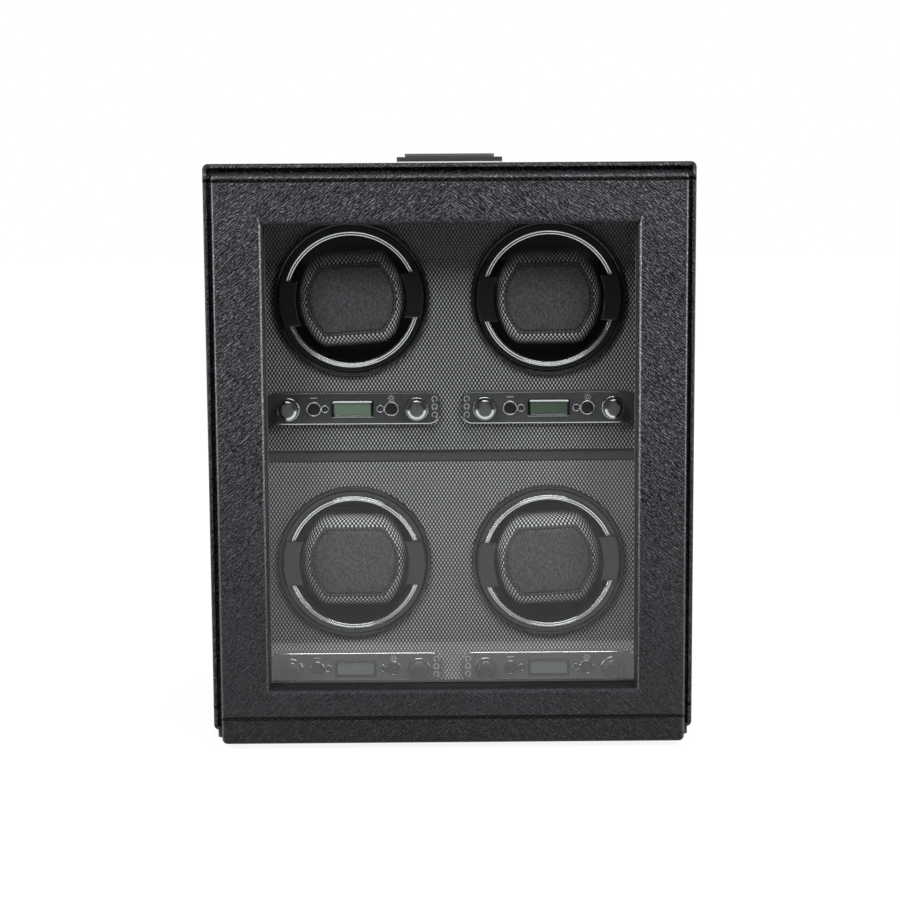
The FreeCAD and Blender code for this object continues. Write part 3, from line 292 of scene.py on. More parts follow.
def leather(name, dark, light, grain=1.0, seams=(), calm_and_shade=(), worn_highlight=None):
    """Grained leather: short leaning strokes between dark creases, pressed in at the seam heights.

    The tone is partly the grain's own colour and partly painted light: painted shade in the creases,
    and a painted highlight on the strokes, which lean away from the middle as the lamps' glints do.
    Between two heights, where they are given, the grain gets deeper, from nearly flat below them, and a
    flat painted shade, darker towards the bottom and darker still below the bottom seam, gives way to the
    full grain. Rolled edges that face sideways or up get a painted highlight with some wear, fainter lower
    down; faces that point up get a painted shade, and so do the seam channels.
    """
    g = Graph(name)
    sway = g.noise(SWAY_SCALE, 2.0, output="Color")
    sway = g.node("ShaderNodeVectorMath", {0: sway, 1: (0.5, 0.5, 0.5)}, operation="SUBTRACT")
    sway = g.node("ShaderNodeVectorMath", {0: sway, "Scale": SWAY_REACH}, operation="SCALE")
    x, y, z = g.axes()
    # Mirrored about the middle so that the strokes lean as the lamps' glints do: painted highlight
    mirrored = g.node("ShaderNodeCombineXYZ", {0: g.math("ABSOLUTE", x), 1: y, 2: z})
    place = g.node("ShaderNodeVectorMath", {0: mirrored, 1: sway}, operation="ADD")
    turned = {"Vector": place, "Rotation": (0, GRAIN_LEAN, 0), "Scale": GRAIN_DRAW}
    place = g.node("ShaderNodeMapping", turned, vector_type="TEXTURE")
    cells = {"Vector": place, "Scale": CREASE_SCALE}
    crease = g.node("ShaderNodeTexVoronoi", cells, feature="DISTANCE_TO_EDGE")
    wander = g.math("MULTIPLY", g.noise(WANDER_SCALE, 1.0, vector=place), GRAIN_WANDER)
    hatch = g.math("MULTIPLY_ADD", g.parts(place)[2], 2 * math.pi / GRAIN_PITCH, wander)
    hatch = g.span(g.math("SINE", hatch), -0.4, 1.0)
    broken = g.span(g.noise(STROKE_SCALE, 0.0, vector=place), 0.36, 0.56, 0.08, 1.0)
    stroke = g.math("MULTIPLY", hatch, broken)
    raised = g.math("MULTIPLY_ADD", g.span(crease, 0.06, 0.30), 0.1, g.math("MULTIPLY", stroke, 0.9))
    fine = g.noise(2400.0, 2.0)
    broad = g.noise(26.0, 3.0)
    deep = g.span(z, *calm_and_shade, 0.3, 1.0) if calm_and_shade else 1.0
    height = g.math("MULTIPLY", raised, GRAIN_DEPTH * grain)
    height = g.math("MULTIPLY_ADD", fine, FINE_DEPTH * grain, height)
    height = g.math("MULTIPLY", height, deep)
    # Painted shade and highlight: dark creases and light strokes, partly the grain's own colour
    tone = g.math("MULTIPLY_ADD", broad, 0.1, g.math("MULTIPLY", raised, 0.9))
    # Painted shade: the door's tone goes flat and darker towards the bottom, darker still below the bottom
    # seam
    shaded_tone = g.span(z, BOTTOM_SEAM_Z - MM, BOTTOM_SEAM_Z, 0.045, 0.11) if calm_and_shade else 0.23
    tone = g.math("MULTIPLY_ADD", g.math("SUBTRACT", tone, shaded_tone), deep, shaded_tone)
    color = g.mix(tone, dark, light)
    if worn_highlight:
        # Painted highlight with some wear: rolled edges facing sideways or up are lighter, fainter lower
        # down
        across, _, up = g.axes("Normal")
        across = g.math("ABSOLUTE", across)
        sides = g.math("SUBTRACT", g.span(across, 0.55, 0.66), g.span(across, 0.78, 0.88))
        tops = g.math("SUBTRACT", g.span(up, 0.20, 0.32), g.span(up, 0.36, 0.50))
        edge = g.math("MAXIMUM", sides, g.math("MULTIPLY", tops, 0.18))
        edge = g.math("MULTIPLY", edge, g.math("MULTIPLY_ADD", raised, 0.8, 0.2))
        edge = g.math("MULTIPLY", edge, g.span(z, *HIGHLIGHT_HEIGHTS, 0.25, 1.0))
        color = g.mix(edge, color, worn_highlight)
        # Painted shade: faces that point up are darker
        color = g.mix(g.span(up, 0.6, 0.8, 0.0, 0.62), color, dark)
    for seam in seams:
        away = g.math("ABSOLUTE", g.math("SUBTRACT", z, seam))
        channel = g.span(away, *SEAM_CHANNEL, 1.0, 0.0)
        height = g.math("MULTIPLY_ADD", channel, -SEAM_DEPTH, height)
        # Painted shade in the seam channel
        color = g.mix(channel, color, tuple(value * 0.4 for value in dark))
    g.bump(height)
    rough = g.math("MULTIPLY_ADD", broad, 0.10, 0.27)
    return g.set(color=color, rough=rough, specular=0.12)


def creased_leather(name, dark, light):
    """Soft leather with fine branching creases, which are painted darker: painted shade."""
    g = Graph(name)
    swell = g.noise(760.0, 3.0, vector=g.stretched(rotation=(0, 20, 0), scale=(1.0, 1.0, 0.6)))
    fold = g.math("ABSOLUTE", g.math("SUBTRACT", swell, 0.5))
    smooth = g.span(fold, 0.0, 0.09)
    fine = g.noise(1300.0, 2.0)
    height = g.math("MULTIPLY", smooth, 0.16 * MM)
    g.bump(g.math("MULTIPLY_ADD", fine, 0.10 * MM, height))
    # Painted shade: the creases are darker
    tone = g.math("MULTIPLY_ADD", fine, 0.5, g.math("MULTIPLY", smooth, 0.5))
    rough = g.math("MULTIPLY_ADD", fine, 0.1, 0.30)
    return g.set(color=g.mix(tone, dark, light), rough=rough, specular=0.2)


def weave(name, rolled=False):
    """A checked two-tone cloth. On a rolled pad the checks run on over its edges, and are painted lighter:
    painted light.
    """
    g = Graph(name)
    x, y, z = g.axes()
    if rolled:
        away = g.math("SQRT", g.math("ADD", g.math("MULTIPLY", x, x), g.math("MULTIPLY", z, z)))
        spread = g.math("ADD", g.math("DIVIDE", y, g.math("MAXIMUM", away, 10.0 * MM)), 1.0)
        x = g.math("MULTIPLY", x, spread)
        z = g.math("MULTIPLY", z, spread)
    size = CUFF_WEAVE if rolled else 1.0
    across = g.math("COSINE", g.math("MULTIPLY", x, 2 * math.pi / (WEAVE_ACROSS * size)))
    up = g.math("COSINE", g.math("MULTIPLY", z, 2 * math.pi / (WEAVE_UP * size)))
    check = g.math("MULTIPLY", across, up)
    thread = g.noise(5200.0, 1.0, vector=g.stretched(scale=(1.0, 1.0, 0.25)))
    tone = g.noise(30.0, 2.0)
    raised = g.span(check, -0.15, 0.60)
    # Painted light: the checks on the cuffs' rolled pads are lighter than on the faceplate
    light = g.mix(tone, *CUFF_CHECKS_PAINTED_LIGHTER) if rolled else g.mix(tone, *FACEPLATE_CHECKS)
    color = g.mix(raised, (0.004, 0.004, 0.005), light)
    height = g.math("MULTIPLY", raised, 0.13 * MM)
    height = g.math("MULTIPLY_ADD", thread, 0.035 * MM, height)
    g.bump(height)
    rough = g.math("MULTIPLY_ADD", raised, -0.12, 0.55)
    return g.set(color=color, rough=rough, specular=0.4)


def panel_plastic(name):
    """Gloss black control panels with plated rims, and one plated edge each.

    Plating on one edge only is a painted highlight: it is the lower edge in the upper row and the upper
    edge in the lower row, where a bright line falls. The rims' faces that do not point down get a dark
    plate, a painted shade that keeps the lamps' glints out of them.
    """
    g = Graph(name)
    _, y, z = g.axes()
    up = g.axes("Normal")[2]
    off_face = g.math("SUBTRACT", y, PANEL_FRONT)
    proud = g.math("LESS_THAN", off_face, -0.02 * MM)
    rounded = g.math("GREATER_THAN", off_face, 0.02 * MM)
    # Painted highlight: only the edge facing down in the upper row and up in the lower row is plated
    toward = g.math("MULTIPLY", up, g.span(z, SHELF_Z, SHELF_Z + MM, 1.0, -1.0))
    edge = g.math("MULTIPLY", rounded, g.math("GREATER_THAN", toward, 0.2))
    plated = g.math("MAXIMUM", proud, edge)
    # Painted shade: rim faces that do not point down get a dark plate
    rim_painted_shade = g.math("MULTIPLY", proud, g.math("GREATER_THAN", up, -0.2))
    plate = g.mix(rim_painted_shade, (0.74, 0.74, 0.75), (0.06, 0.06, 0.063))
    cloud = g.noise(24.0, 3.0)
    black = g.mix(cloud, (0.020, 0.020, 0.021), (0.082, 0.082, 0.084))
    color = g.mix(plated, black, plate)
    rough = g.math("MULTIPLY_ADD", cloud, 0.08, 0.07)
    return g.set(color=color, rough=rough, metal=plated, specular=0.85)


def knob_metal(name):
    """Chrome knobs with a darker, rougher, grainy end face."""
    g = Graph(name)
    toward = g.math("MULTIPLY", g.axes("Normal")[1], -1.0)
    face = g.span(toward, 0.925, 0.945)
    grain = g.noise(1400.0, 2.0)
    blasted = g.mix(grain, (0.08, 0.08, 0.08), (0.30, 0.30, 0.30))
    color = g.mix(face, (0.70, 0.70, 0.71), blasted)
    rough = g.math("MULTIPLY_ADD", face, 0.22, 0.12)
    return g.set(color=color, rough=rough, metal=1.0)


def plastic(name, dark, light, rough, ripple=0.01):
    """Moulded plastic with faint flow marks and handling haze."""
    g = Graph(name)
    cloud = g.noise(60.0, 3.0)
    skin = g.noise(900.0, 2.0)
    g.bump(g.math("MULTIPLY", skin, ripple * MM))
    color = g.mix(cloud, dark, light)
    return g.set(color=color, rough=g.math("MULTIPLY_ADD", cloud, 0.1, rough))


def metal(name, dark, light, rough, brush=(1.0, 1.0, 1.0), depth=0.004):
    """Plated or brushed metal, its scratches drawn out along the brushing."""
    g = Graph(name)
    scratch = g.noise(900.0, 3.0, vector=g.stretched(scale=brush))
    cloud = g.noise(45.0, 2.0)
    g.bump(g.math("MULTIPLY", scratch, depth * MM))
    rough = g.math("MULTIPLY_ADD", scratch, 0.06, rough)
    return g.set(color=g.mix(cloud, dark, light), rough=rough, metal=1.0)


def latch_finish(name):
    """The latch base: a pale plate at its foot under a dark grey housing."""
    g = Graph(name)
    z = g.axes()[2]
    scratch = g.noise(900.0, 3.0, vector=g.stretched(scale=(0.05, 1.0, 1.0)))
    plate_top = CASE_HIGH.z + PLATE_TOP
    housing = g.span(z, plate_top, plate_top + PLATE_BLEND)
    color = g.mix(housing, (0.58, 0.58, 0.58), (0.036, 0.036, 0.037))
    g.bump(g.math("MULTIPLY", scratch, 0.006 * MM))
    return g.set(color=color, rough=g.math("MULTIPLY_ADD", scratch, 0.1, 0.35), specular=0.3)


def felt(name, dark, light):
    """Short-pile lining."""
    g = Graph(name)
    fibre = g.noise(4200.0, 3.0)
    g.bump(g.math("MULTIPLY", fibre, 0.08 * MM))
    return g.set(color=g.mix(fibre, dark, light), rough=0.9, specular=0.2, sheen=0.25, sheen_rough=0.5)


def display(name):
    """Grey-green screens with dark edges and dark jewel lamps beside them. The lower row is greyer, a
    painted reflection of the pane's haze, and the top of each screen carries a painted shadow of its rim.
    """
    g = Graph(name)
    x, _, z = g.axes()
    local = g.math("ABSOLUTE", g.math("SUBTRACT", g.math("ABSOLUTE", x), DRUMS["upper_right"].x))
    lamp = g.math("GREATER_THAN", local, LAMP_REACH)
    edge = g.span(local, *SCREEN_EDGE)
    grain = g.noise(1500.0, 1.0)
    upper = g.mix(g.span(x, -SCREEN_BLEND, SCREEN_BLEND), (0.105, 0.165, 0.110), (0.031, 0.055, 0.033))
    # Painted reflection: the lower row is greyer, as the pane's haze
    glow = g.mix(g.math("GREATER_THAN", z, SHELF_Z), (0.070, 0.090, 0.092), upper)
    glow = g.mix(g.math("MULTIPLY", grain, 0.12), glow, (0.3, 0.34, 0.3))
    # Painted shadow of the rim along each screen's top
    row = g.span(z, SHELF_Z, SHELF_Z + MM, PANEL_Z["lower_left"], PANEL_Z["upper_left"])
    shade = g.span(g.math("SUBTRACT", z, row), *SCREEN_SHADE, 0.0, 0.7)
    glow = g.mix(shade, glow, SCREEN_DARK)
    screen = g.mix(edge, glow, SCREEN_DARK)
    color = g.mix(lamp, screen, (0.012, 0.009, 0.009))
    return g.set(color=color, rough=0.3, coat=1.0, coat_rough=0.04)


def window_glass(name):
    """A clear pane: its outer faces reflect, and what is behind shows straight through."""
    g = Graph(name)
    facing = g.node("ShaderNodeNewGeometry", {}, output="Backfacing")
    smear = g.noise(16.0, 3.0)
    rough = g.math("MULTIPLY", smear, 0.02)
    gloss = g.node("ShaderNodeBsdfGlossy", {"Color": (1, 1, 1), "Roughness": rough})
    clear = g.node("ShaderNodeBsdfTransparent", {"Color": (0.97, 0.98, 0.98)})
    mirror = g.node("ShaderNodeFresnel", {"IOR": PANE_IOR})
    mirror = g.math("MULTIPLY", mirror, g.math("SUBTRACT", 1.0, facing))
    pane = g.node("ShaderNodeMixShader", {0: mirror, 1: clear, 2: gloss})
    g.put(g.tree.nodes["Material Output"].inputs["Surface"], pane)
    return g.material


def circuit_board(name):
    """Green board with paler tracks."""
    g = Graph(name)
    tracks = g.node("ShaderNodeTexBrick", {
        "Vector": g.stretched(rotation=(90, 0, 0)), "Scale": 260.0, "Color1": (0.02, 0.13, 0.05),
        "Color2": (0.025, 0.16, 0.065), "Mortar": (0.05, 0.24, 0.1), "Mortar Size": 0.03})
    return g.set(color=tracks, rough=g.math("MULTIPLY_ADD", g.noise(200.0), 0.2, 0.35))


BLACK_LEATHER = ((0.002, 0.002, 0.003), (0.158, 0.158, 0.173))
# Painted highlight with some wear on the rolled edges of door and case
DOOR_WORN_HIGHLIGHT = (0.62, 0.62, 0.63)
CASE_WORN_HIGHLIGHT = (0.26, 0.26, 0.265)
LEATHER_DOOR = leather("leather_door", *BLACK_LEATHER, seams=SEAMS, calm_and_shade=CALM_AND_SHADE_HEIGHTS, worn_highlight=DOOR_WORN_HIGHLIGHT)
LEATHER_CASE = leather("leather_case", *BLACK_LEATHER, seams=SEAMS, worn_highlight=CASE_WORN_HIGHLIGHT)
LEATHER_PLAIN = leather("leather_plain", *BLACK_LEATHER, grain=0.8)
LEATHER_FACE = creased_leather("leather_face", (0.016, 0.016, 0.017), (0.125, 0.125, 0.132))
LEATHER_SHELF = leather("leather_shelf", (0.040, 0.040, 0.042), (0.060, 0.060, 0.062), grain=0.15)
WEAVE_FLAT = weave("weave_flat")
WEAVE_ROLLED = weave("weave_rolled", rolled=True)
GLOSS_BLACK = plastic("gloss_black", (0.006, 0.006, 0.007), (0.012, 0.012, 0.013), 0.10)
PANEL_BLACK = panel_plastic("panel_black")
SATIN_BLACK = plastic("satin_black", (0.010, 0.010, 0.011), (0.020, 0.020, 0.021), 0.30, ripple=0.02)
GEAR_WHITE = plastic("gear_white", (0.70, 0.68, 0.62), (0.80, 0.79, 0.74), 0.38, ripple=0.02)
CHROME = metal("chrome", (0.60, 0.60, 0.62), (0.70, 0.70, 0.71), 0.32, depth=0.0)
BRIGHT_CHROME = metal("bright_chrome", (0.70, 0.70, 0.72), (0.80, 0.80, 0.81), 0.08, depth=0.0)
STEEL = metal("steel", (0.46, 0.46, 0.48), (0.60, 0.60, 0.62), 0.28, brush=(0.06, 1.0, 1.0))
BRONZE = metal("bronze", (0.52, 0.34, 0.15), (0.66, 0.46, 0.22), 0.30)
SLIDER_GREY = plastic("slider_grey", (0.065, 0.065, 0.062), (0.10, 0.10, 0.096), 0.32, ripple=0.02)
LATCH_FINISH = latch_finish("latch_finish")
KNOB_METAL = knob_metal("knob_metal")
RING_PLATE = metal("ring_plate", (0.62, 0.62, 0.63), (0.72, 0.72, 0.73), 0.14, depth=0.0)
LINING = felt("lining", (0.006, 0.006, 0.006), (0.016, 0.016, 0.016))
SCREEN = display("display")
GLASS = window_glass("window_glass")
BOARD = circuit_board("circuit_board")
THREAD = plastic("thread", (0.001, 0.001, 0.001), (0.004, 0.004, 0.004), 0.8, ripple=0.05)
PRINT = plastic("print_grey", (0.30, 0.30, 0.30), (0.42, 0.42, 0.42), 0.45)

FINISHES = {
    "cabinet_shell": LEATHER_CASE, "back_panel": LEATHER_PLAIN, "base_plinth": LEATHER_PLAIN,
    "door_frame": LEATHER_DOOR, "shelf_board": LEATHER_SHELF, "faceplates": WEAVE_FLAT, "door_glass": GLASS,
    "glass_retainer": LINING, "power_socket": SATIN_BLACK, "hinge_arms": STEEL, "hinge_pins": STEEL,
    "latch_base": LATCH_FINISH, "latch_slider": SLIDER_GREY, "drum_bezels": GLOSS_BLACK,
    "shaft_bearings": BRONZE, "chassis_plates": SATIN_BLACK, "gear_motors": STEEL,
    "control_panels": PANEL_BLACK, "display_lenses": SCREEN, "control_boards": BOARD,
    "drum_cup": GLOSS_BLACK, "trim_ring": CHROME, "drive_gear": GEAR_WHITE, "motor_pinion": BRONZE,
    "cuff_clip": GLOSS_BLACK, "knob": KNOB_METAL, "button": GLOSS_BLACK,
}


def finish_nodes():
    """Every shown node gets its finish, repeated ones by the start of their names."""
    for name, node in NODES.items():
        stem = name
        while stem not in FINISHES and "_" in stem:
            stem = stem.rsplit("_", 1)[0]
        if stem in FINISHES:
            node.data.materials.clear()
            node.data.materials.append(FINISHES[stem])


def add_piece(name, mesh, material, body, smooth=True, seat=None):
    """A finished mesh as a piece of the object, moved to its seat where one is given."""
    mesh.materials.clear()
    mesh.materials.append(material)
    for polygon in mesh.polygons:
        polygon.use_smooth = smooth
    piece = bpy.data.objects.new(name, mesh)
    bpy.context.scene.collection.objects.link(piece)
    if seat is not None:
        piece.matrix_world = seat
    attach(piece, body)
    return piece


def to_mesh(name, bm):
    """A mesh with its faces turned outward."""
    bmesh.ops.recalc_face_normals(bm, faces=bm.faces)
    mesh = bpy.data.meshes.new(name)
    bm.to_mesh(mesh)
    bm.free()
    return mesh


def add_loft(bm, rings, close_start=True):
    """Quads between rings of equal length, closed at the end, and at the start on request."""
    rows = [[bm.verts.new(point) for point in ring] for ring in rings]
    for low, high in zip(rows, rows[1:]):
        for i in range(len(low)):
            j = (i + 1) % len(low)
            bm.faces.new((low[i], low[j], high[j], high[i]))
    if close_start:
        bm.faces.new(rows[0])
    bm.faces.new(list(reversed(rows[-1])))


def add_stitch(bm, middle, along, out, length, radius, sides=6, steps=4):
    """One stitch: a rounded strand that rises from the surface and dips back at its ends."""
    side = along.cross(out).normalized()
    rings = []
    for step in range(steps + 1):
        t = step / steps * 2 - 1
        swell = radius * math.sqrt(max(0.12, 1 - t ** 4))
        centre = middle + along * (t * length / 2) + out * (radius * (0.55 - 1.1 * t * t))
        ring = []
        for k in range(sides):
            angle = 2 * math.pi * k / sides
            ring.append(centre + side * (math.cos(angle) * swell) + out * (math.sin(angle) * swell))
        rings.append(ring)
    add_loft(bm, rings)


def stitch_line(bm, start, end, out, pitch, length, radius, slant=0.0):
    """Stitches in a straight row between two points on a flat surface."""
    run = end - start
    count = max(1, round(run.length / pitch))
    turn = Matrix.Rotation(math.radians(slant), 3, out)
    along = turn @ run.normalized()
    for i in range(count):
        add_stitch(bm, start + run * ((i + 0.5) / count), along, out, length, radius)


def seam_rows():
    """Two seams round the door's front and sides, and on along the case's sides."""
    door, case = bmesh.new(), bmesh.new()
    thread = (SEAM_PITCH, SEAM_STITCH, SEAM_THREAD)
    for z in SEAMS:
        start = Vector((DOOR_LOW.x + SEAM_END, DOOR_LOW.y, z))
        end = Vector((DOOR_HIGH.x - SEAM_END, DOOR_LOW.y, z))
        stitch_line(door, start, end, Vector((0, -1, 0)), *thread, slant=SEAM_SLANT)
        for side in (-1, 1):
            out = Vector((side, 0, 0))
            x = DOOR_LOW.x if side < 0 else DOOR_HIGH.x
            start = Vector((x, DOOR_LOW.y + SEAM_END, z))
            end = Vector((x, DOOR_HIGH.y - SEAM_DOOR_BACK, z))
            stitch_line(door, start, end, out, *thread, slant=SEAM_SLANT)
            x = CASE_LOW.x if side < 0 else CASE_HIGH.x
            start = Vector((x, CASE_LOW.y + SEAM_END, z))
            end = Vector((x, CASE_HIGH.y - SEAM_END, z))
            stitch_line(case, start, end, out, *thread, slant=SEAM_SLANT)
    add_piece("door_stitching", to_mesh("door_stitching", door), THREAD, "door")
    add_piece("case_stitching", to_mesh("case_stitching", case), THREAD, "cabinet")


def window_lip():
    """The top rail's leather, rolled in a little below the frame's window and mitred into the stiles."""
    half, top = WINDOW_HALF, WINDOW_TOP
    front = DOOR_LOW.y - LIP_SKIN
    low = top - LIP_DROP
    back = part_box("door_glass")[0].y
    profile = [(front, top + LIP_ROLL)]
    for step in range(LIP_STEPS + 1):
        turn = math.pi / 2 * step / LIP_STEPS
        profile.append((front + LIP_ROLL * (1 - math.cos(turn)), low + LIP_ROLL * (1 - math.sin(turn))))
    profile += [(back, low), (back, top + LIP_ROLL)]
    turns = [math.pi / 2 * step / LIP_END_STEPS for step in range(LIP_END_STEPS + 1)]
    ends = [half + LIP_ROLL * (1 - math.cos(turn)) for turn in turns]
    rings = []
    for x in [-x for x in reversed(ends)] + ends:
        # Past the window's sides the lip follows the stiles' rounded edges
        into = LIP_ROLL - (abs(x) - half)
        rolled = front + LIP_ROLL - math.sqrt(LIP_ROLL ** 2 - into ** 2) if abs(x) > half else front
        rings.append([Vector((x, max(y, rolled), z)) for y, z in profile])
    bm = bmesh.new()
    add_loft(bm, rings)
    add_piece("window_lip", to_mesh("window_lip", bm), LEATHER_DOOR, "door", smooth=False)


def outline(flat, height, width, step):
    """A cuff's outline, flat above and below with bowed sides, as evenly spaced (x, z) points."""
    bow = width - flat
    radius = (height ** 2 + bow ** 2) / (2 * bow)
    sweep = math.asin(height / radius)
    along = max(8, round(2 * sweep * radius / step))
    across = max(8, round(2 * flat / step))
    right = []
    for i in range(along):
        angle = sweep * (1 - 2 * i / along)
        right.append((width - radius + radius * math.cos(angle), radius * math.sin(angle)))
    below = [(flat - 2 * flat * i / across, -height) for i in range(across)]
    half = right + below
    return half + [(-x, -z) for x, z in half]


def pad_mesh():
    """The cuff's closed pad before it is inflated, about the drum's axis with its front at y 0."""
    low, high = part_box("cuff_cushion_lower_left")
    depth = high.y - low.y - CUFF_CROWN
    turns = [math.pi / 2 * i / PAD_EDGE_STEPS for i in range(PAD_EDGE_STEPS + 1)]
    edge = [(CUFF_ROUND * (1 - math.sin(turn)), CUFF_ROUND * (1 - math.cos(turn))) for turn in turns]
    straight = depth - 2 * CUFF_ROUND
    stations = edge + [(0.0, CUFF_ROUND + straight * i / PAD_SIDE_STEPS) for i in range(1, PAD_SIDE_STEPS)]
    stations += [(inset, depth - y) for inset, y in reversed(edge)]
    base = outline(CUFF_FLAT, CUFF_HALF_HEIGHT, CUFF_HALF_WIDTH, PAD_STEP)
    rings = []
    for inset, y in stations:
        shrink_x = 1 - inset / CUFF_HALF_WIDTH
        shrink_z = 1 - inset / CUFF_HALF_HEIGHT
        rings.append([Vector((x * shrink_x, y, z * shrink_z)) for x, z in base])
    bm = bmesh.new()
    add_loft(bm, rings)
    return to_mesh("cuff_pad", bm)


def inflate(piece):
    """Blows the remeshed pad up as cloth, with each point's travel capped."""
    scene = bpy.context.scene
    rest = [vertex.co.copy() for vertex in piece.data.vertices]
    cloth = piece.modifiers.new("swell", "CLOTH")
    cloth.settings.use_pressure = True
    cloth.settings.uniform_pressure_force = PAD_PRESSURE
    cloth.settings.effector_weights.gravity = 0.0
    cloth.point_cache.frame_end = PAD_FRAMES
    for number in range(1, PAD_FRAMES + 1):
        scene.frame_set(number)
    swollen = piece.evaluated_get(bpy.context.evaluated_depsgraph_get())
    moved = [vertex.co.copy() for vertex in swollen.data.vertices]
    piece.modifiers.remove(cloth)
    scene.frame_set(1)
    for vertex, start, end in zip(piece.data.vertices, rest, moved):
        travel = end - start
        if travel.length > PAD_SWELL:
            travel *= PAD_SWELL / travel.length
        vertex.co = start + travel


def soft_pad():
    """One inflated pad mesh, shared by the four cuffs."""
    piece = bpy.data.objects.new("pad_work", pad_mesh())
    bpy.context.scene.collection.objects.link(piece)
    bpy.context.view_layer.objects.active = piece
    remesh = piece.modifiers.new("voxels", "REMESH")
    remesh.mode = "VOXEL"
    remesh.voxel_size = PAD_VOXEL
    graph = bpy.context.evaluated_depsgraph_get()
    mesh = bpy.data.meshes.new_from_object(piece.evaluated_get(graph))
    piece.modifiers.remove(remesh)
    piece.data = mesh
    inflate(piece)
    smooth = piece.modifiers.new("relax", "SMOOTH")
    smooth.iterations = 3
    divide = piece.modifiers.new("divide", "SUBSURF")
    divide.levels = 1
    graph = bpy.context.evaluated_depsgraph_get()
    mesh = bpy.data.meshes.new_from_object(piece.evaluated_get(graph))
    bpy.data.objects.remove(piece)
    return mesh


def face_profile(inset):
    """How far the leather face stands off the pad at a distance in from its edge."""
    past = inset - FACE_STITCH_INSET
    edge = FACE_THICK * math.sqrt(max(0.0, 1 - max(0.0, 1 - inset / FACE_ROLL) ** 2))
    groove = GROOVE_DEPTH * math.exp(-(past / GROOVE_HALF) ** 2)
    crown = FACE_CROWN * (1 - math.exp(-max(0.0, past) / FACE_CROWN_RUN))
    return edge - groove + crown - FACE_BED


def face_outline(inset):
    """The leather face's outline drawn in by a distance."""
    width = CUFF_HALF_WIDTH - FACE_MARGIN_X
    height = CUFF_HALF_HEIGHT - FACE_MARGIN_Z
    base = outline(FACE_FLAT, height, width, FACE_STEP)
    return [(x * (1 - inset / width), z * (1 - inset / height)) for x, z in base]


def cuff_face(surface):
    """The leather face and its stitches, laid on the pad's front."""

    def on_pad(x, z, lift):
        hit = surface.ray_cast(Vector((x, -FACE_REACH, z)), Vector((0, 1, 0)))[0]
        return Vector((x, (hit.y if hit else 0.0) - lift, z))

    bm = bmesh.new()
    rings = []
    for inset in (value * MM for value in FACE_INSETS):
        lift = face_profile(inset)
        rings.append([on_pad(x, z, lift) for x, z in face_outline(inset)])
    add_loft(bm, rings, close_start=False)
    face = to_mesh("cuff_face", bm)
    bm = bmesh.new()
    line = face_outline(FACE_STITCH_INSET)
    lengths = [math.hypot(b[0] - a[0], b[1] - a[1]) for a, b in zip(line, line[1:] + line[:1])]
    count = round(sum(lengths) / FACE_STITCH_PITCH)
    lift = face_profile(FACE_STITCH_INSET)
    for i in range(count):
        target = sum(lengths) * i / count
        index = 0
        while target > lengths[index]:
            target -= lengths[index]
            index += 1
        (x0, z0), (x1, z1) = line[index], line[(index + 1) % len(line)]
        share = target / lengths[index]
        middle = on_pad(x0 + (x1 - x0) * share, z0 + (z1 - z0) * share, lift)
        along = Vector((x1 - x0, 0, z1 - z0)).normalized()
        add_stitch(bm, middle, along, Vector((0, -1, 0)), FACE_STITCH, FACE_THREAD)
    return face, to_mesh("cuff_stitches", bm)


def cuffs():
    """Padded cuffs: an inflated woven pad, a leather face and its stitching on each."""
    pad = soft_pad()
    surface = BVHTree.FromPolygons([v.co for v in pad.vertices], [p.vertices for p in pad.polygons])
    face, stitches = cuff_face(surface)
    for place in PLACES:
        node = "cuff_cushion_" + place
        body = "cuff_" + place
        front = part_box(node)[0].y + CUFF_CROWN
        turn = Matrix.Rotation(math.radians(CUFF_TURNS[place]), 4, Vector((0, -1, 0)))
        drum = DRUMS[place]
        seat = Matrix.Translation(Vector((drum.x, front, drum.z))) @ turn
        cover = add_piece("cuff_pad_" + place, pad.copy(), WEAVE_ROLLED, body, seat=seat)
        add_piece("cuff_face_" + place, face.copy(), LEATHER_FACE, body, seat=seat)
        add_piece("cuff_stitching_" + place, stitches.copy(), THREAD, body, seat=seat)
        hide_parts(node)


def add_bar(bm, start, end, width):
    """A flat printed bar between two (x, z) points, in the local plane of a panel."""
    start, end = Vector(start), Vector(end)
    side = Vector((start.y - end.y, end.x - start.x)).normalized() * (width / 2)
    corners = (start + side, end + side, end - side, start - side)
    bm.faces.new([bm.verts.new((corner.x, 0.0, corner.y)) for corner in corners])


def add_arc(bm, centre, radius, first, last, width, steps=14):
    """A flat printed arc, drawn as joined bars, from one angle to another in degrees."""
    points = []
    for i in range(steps + 1):
        angle = math.radians(first + (last - first) * i / steps)
        points.append((centre[0] + radius * math.cos(angle), centre[1] + radius * math.sin(angle)))
    for start, end in zip(points, points[1:]):
        add_bar(bm, start, end, width)


def add_arrow_tip(bm, centre, radius, angle, way):
    """The head at one end of a turn arrow."""
    turn = math.radians(angle)
    tip = Vector((centre[0] + radius * math.cos(turn), centre[1] + radius * math.sin(turn)))
    along = Vector((-math.sin(turn), math.cos(turn))) * way
    out = Vector((math.cos(turn), math.sin(turn)))
    size = 1.7 * PRINT_LINE
    corners = (tip + along * size, tip + out * size, tip - out * size)
    bm.faces.new([bm.verts.new((corner.x, 0.0, corner.y)) for corner in corners])


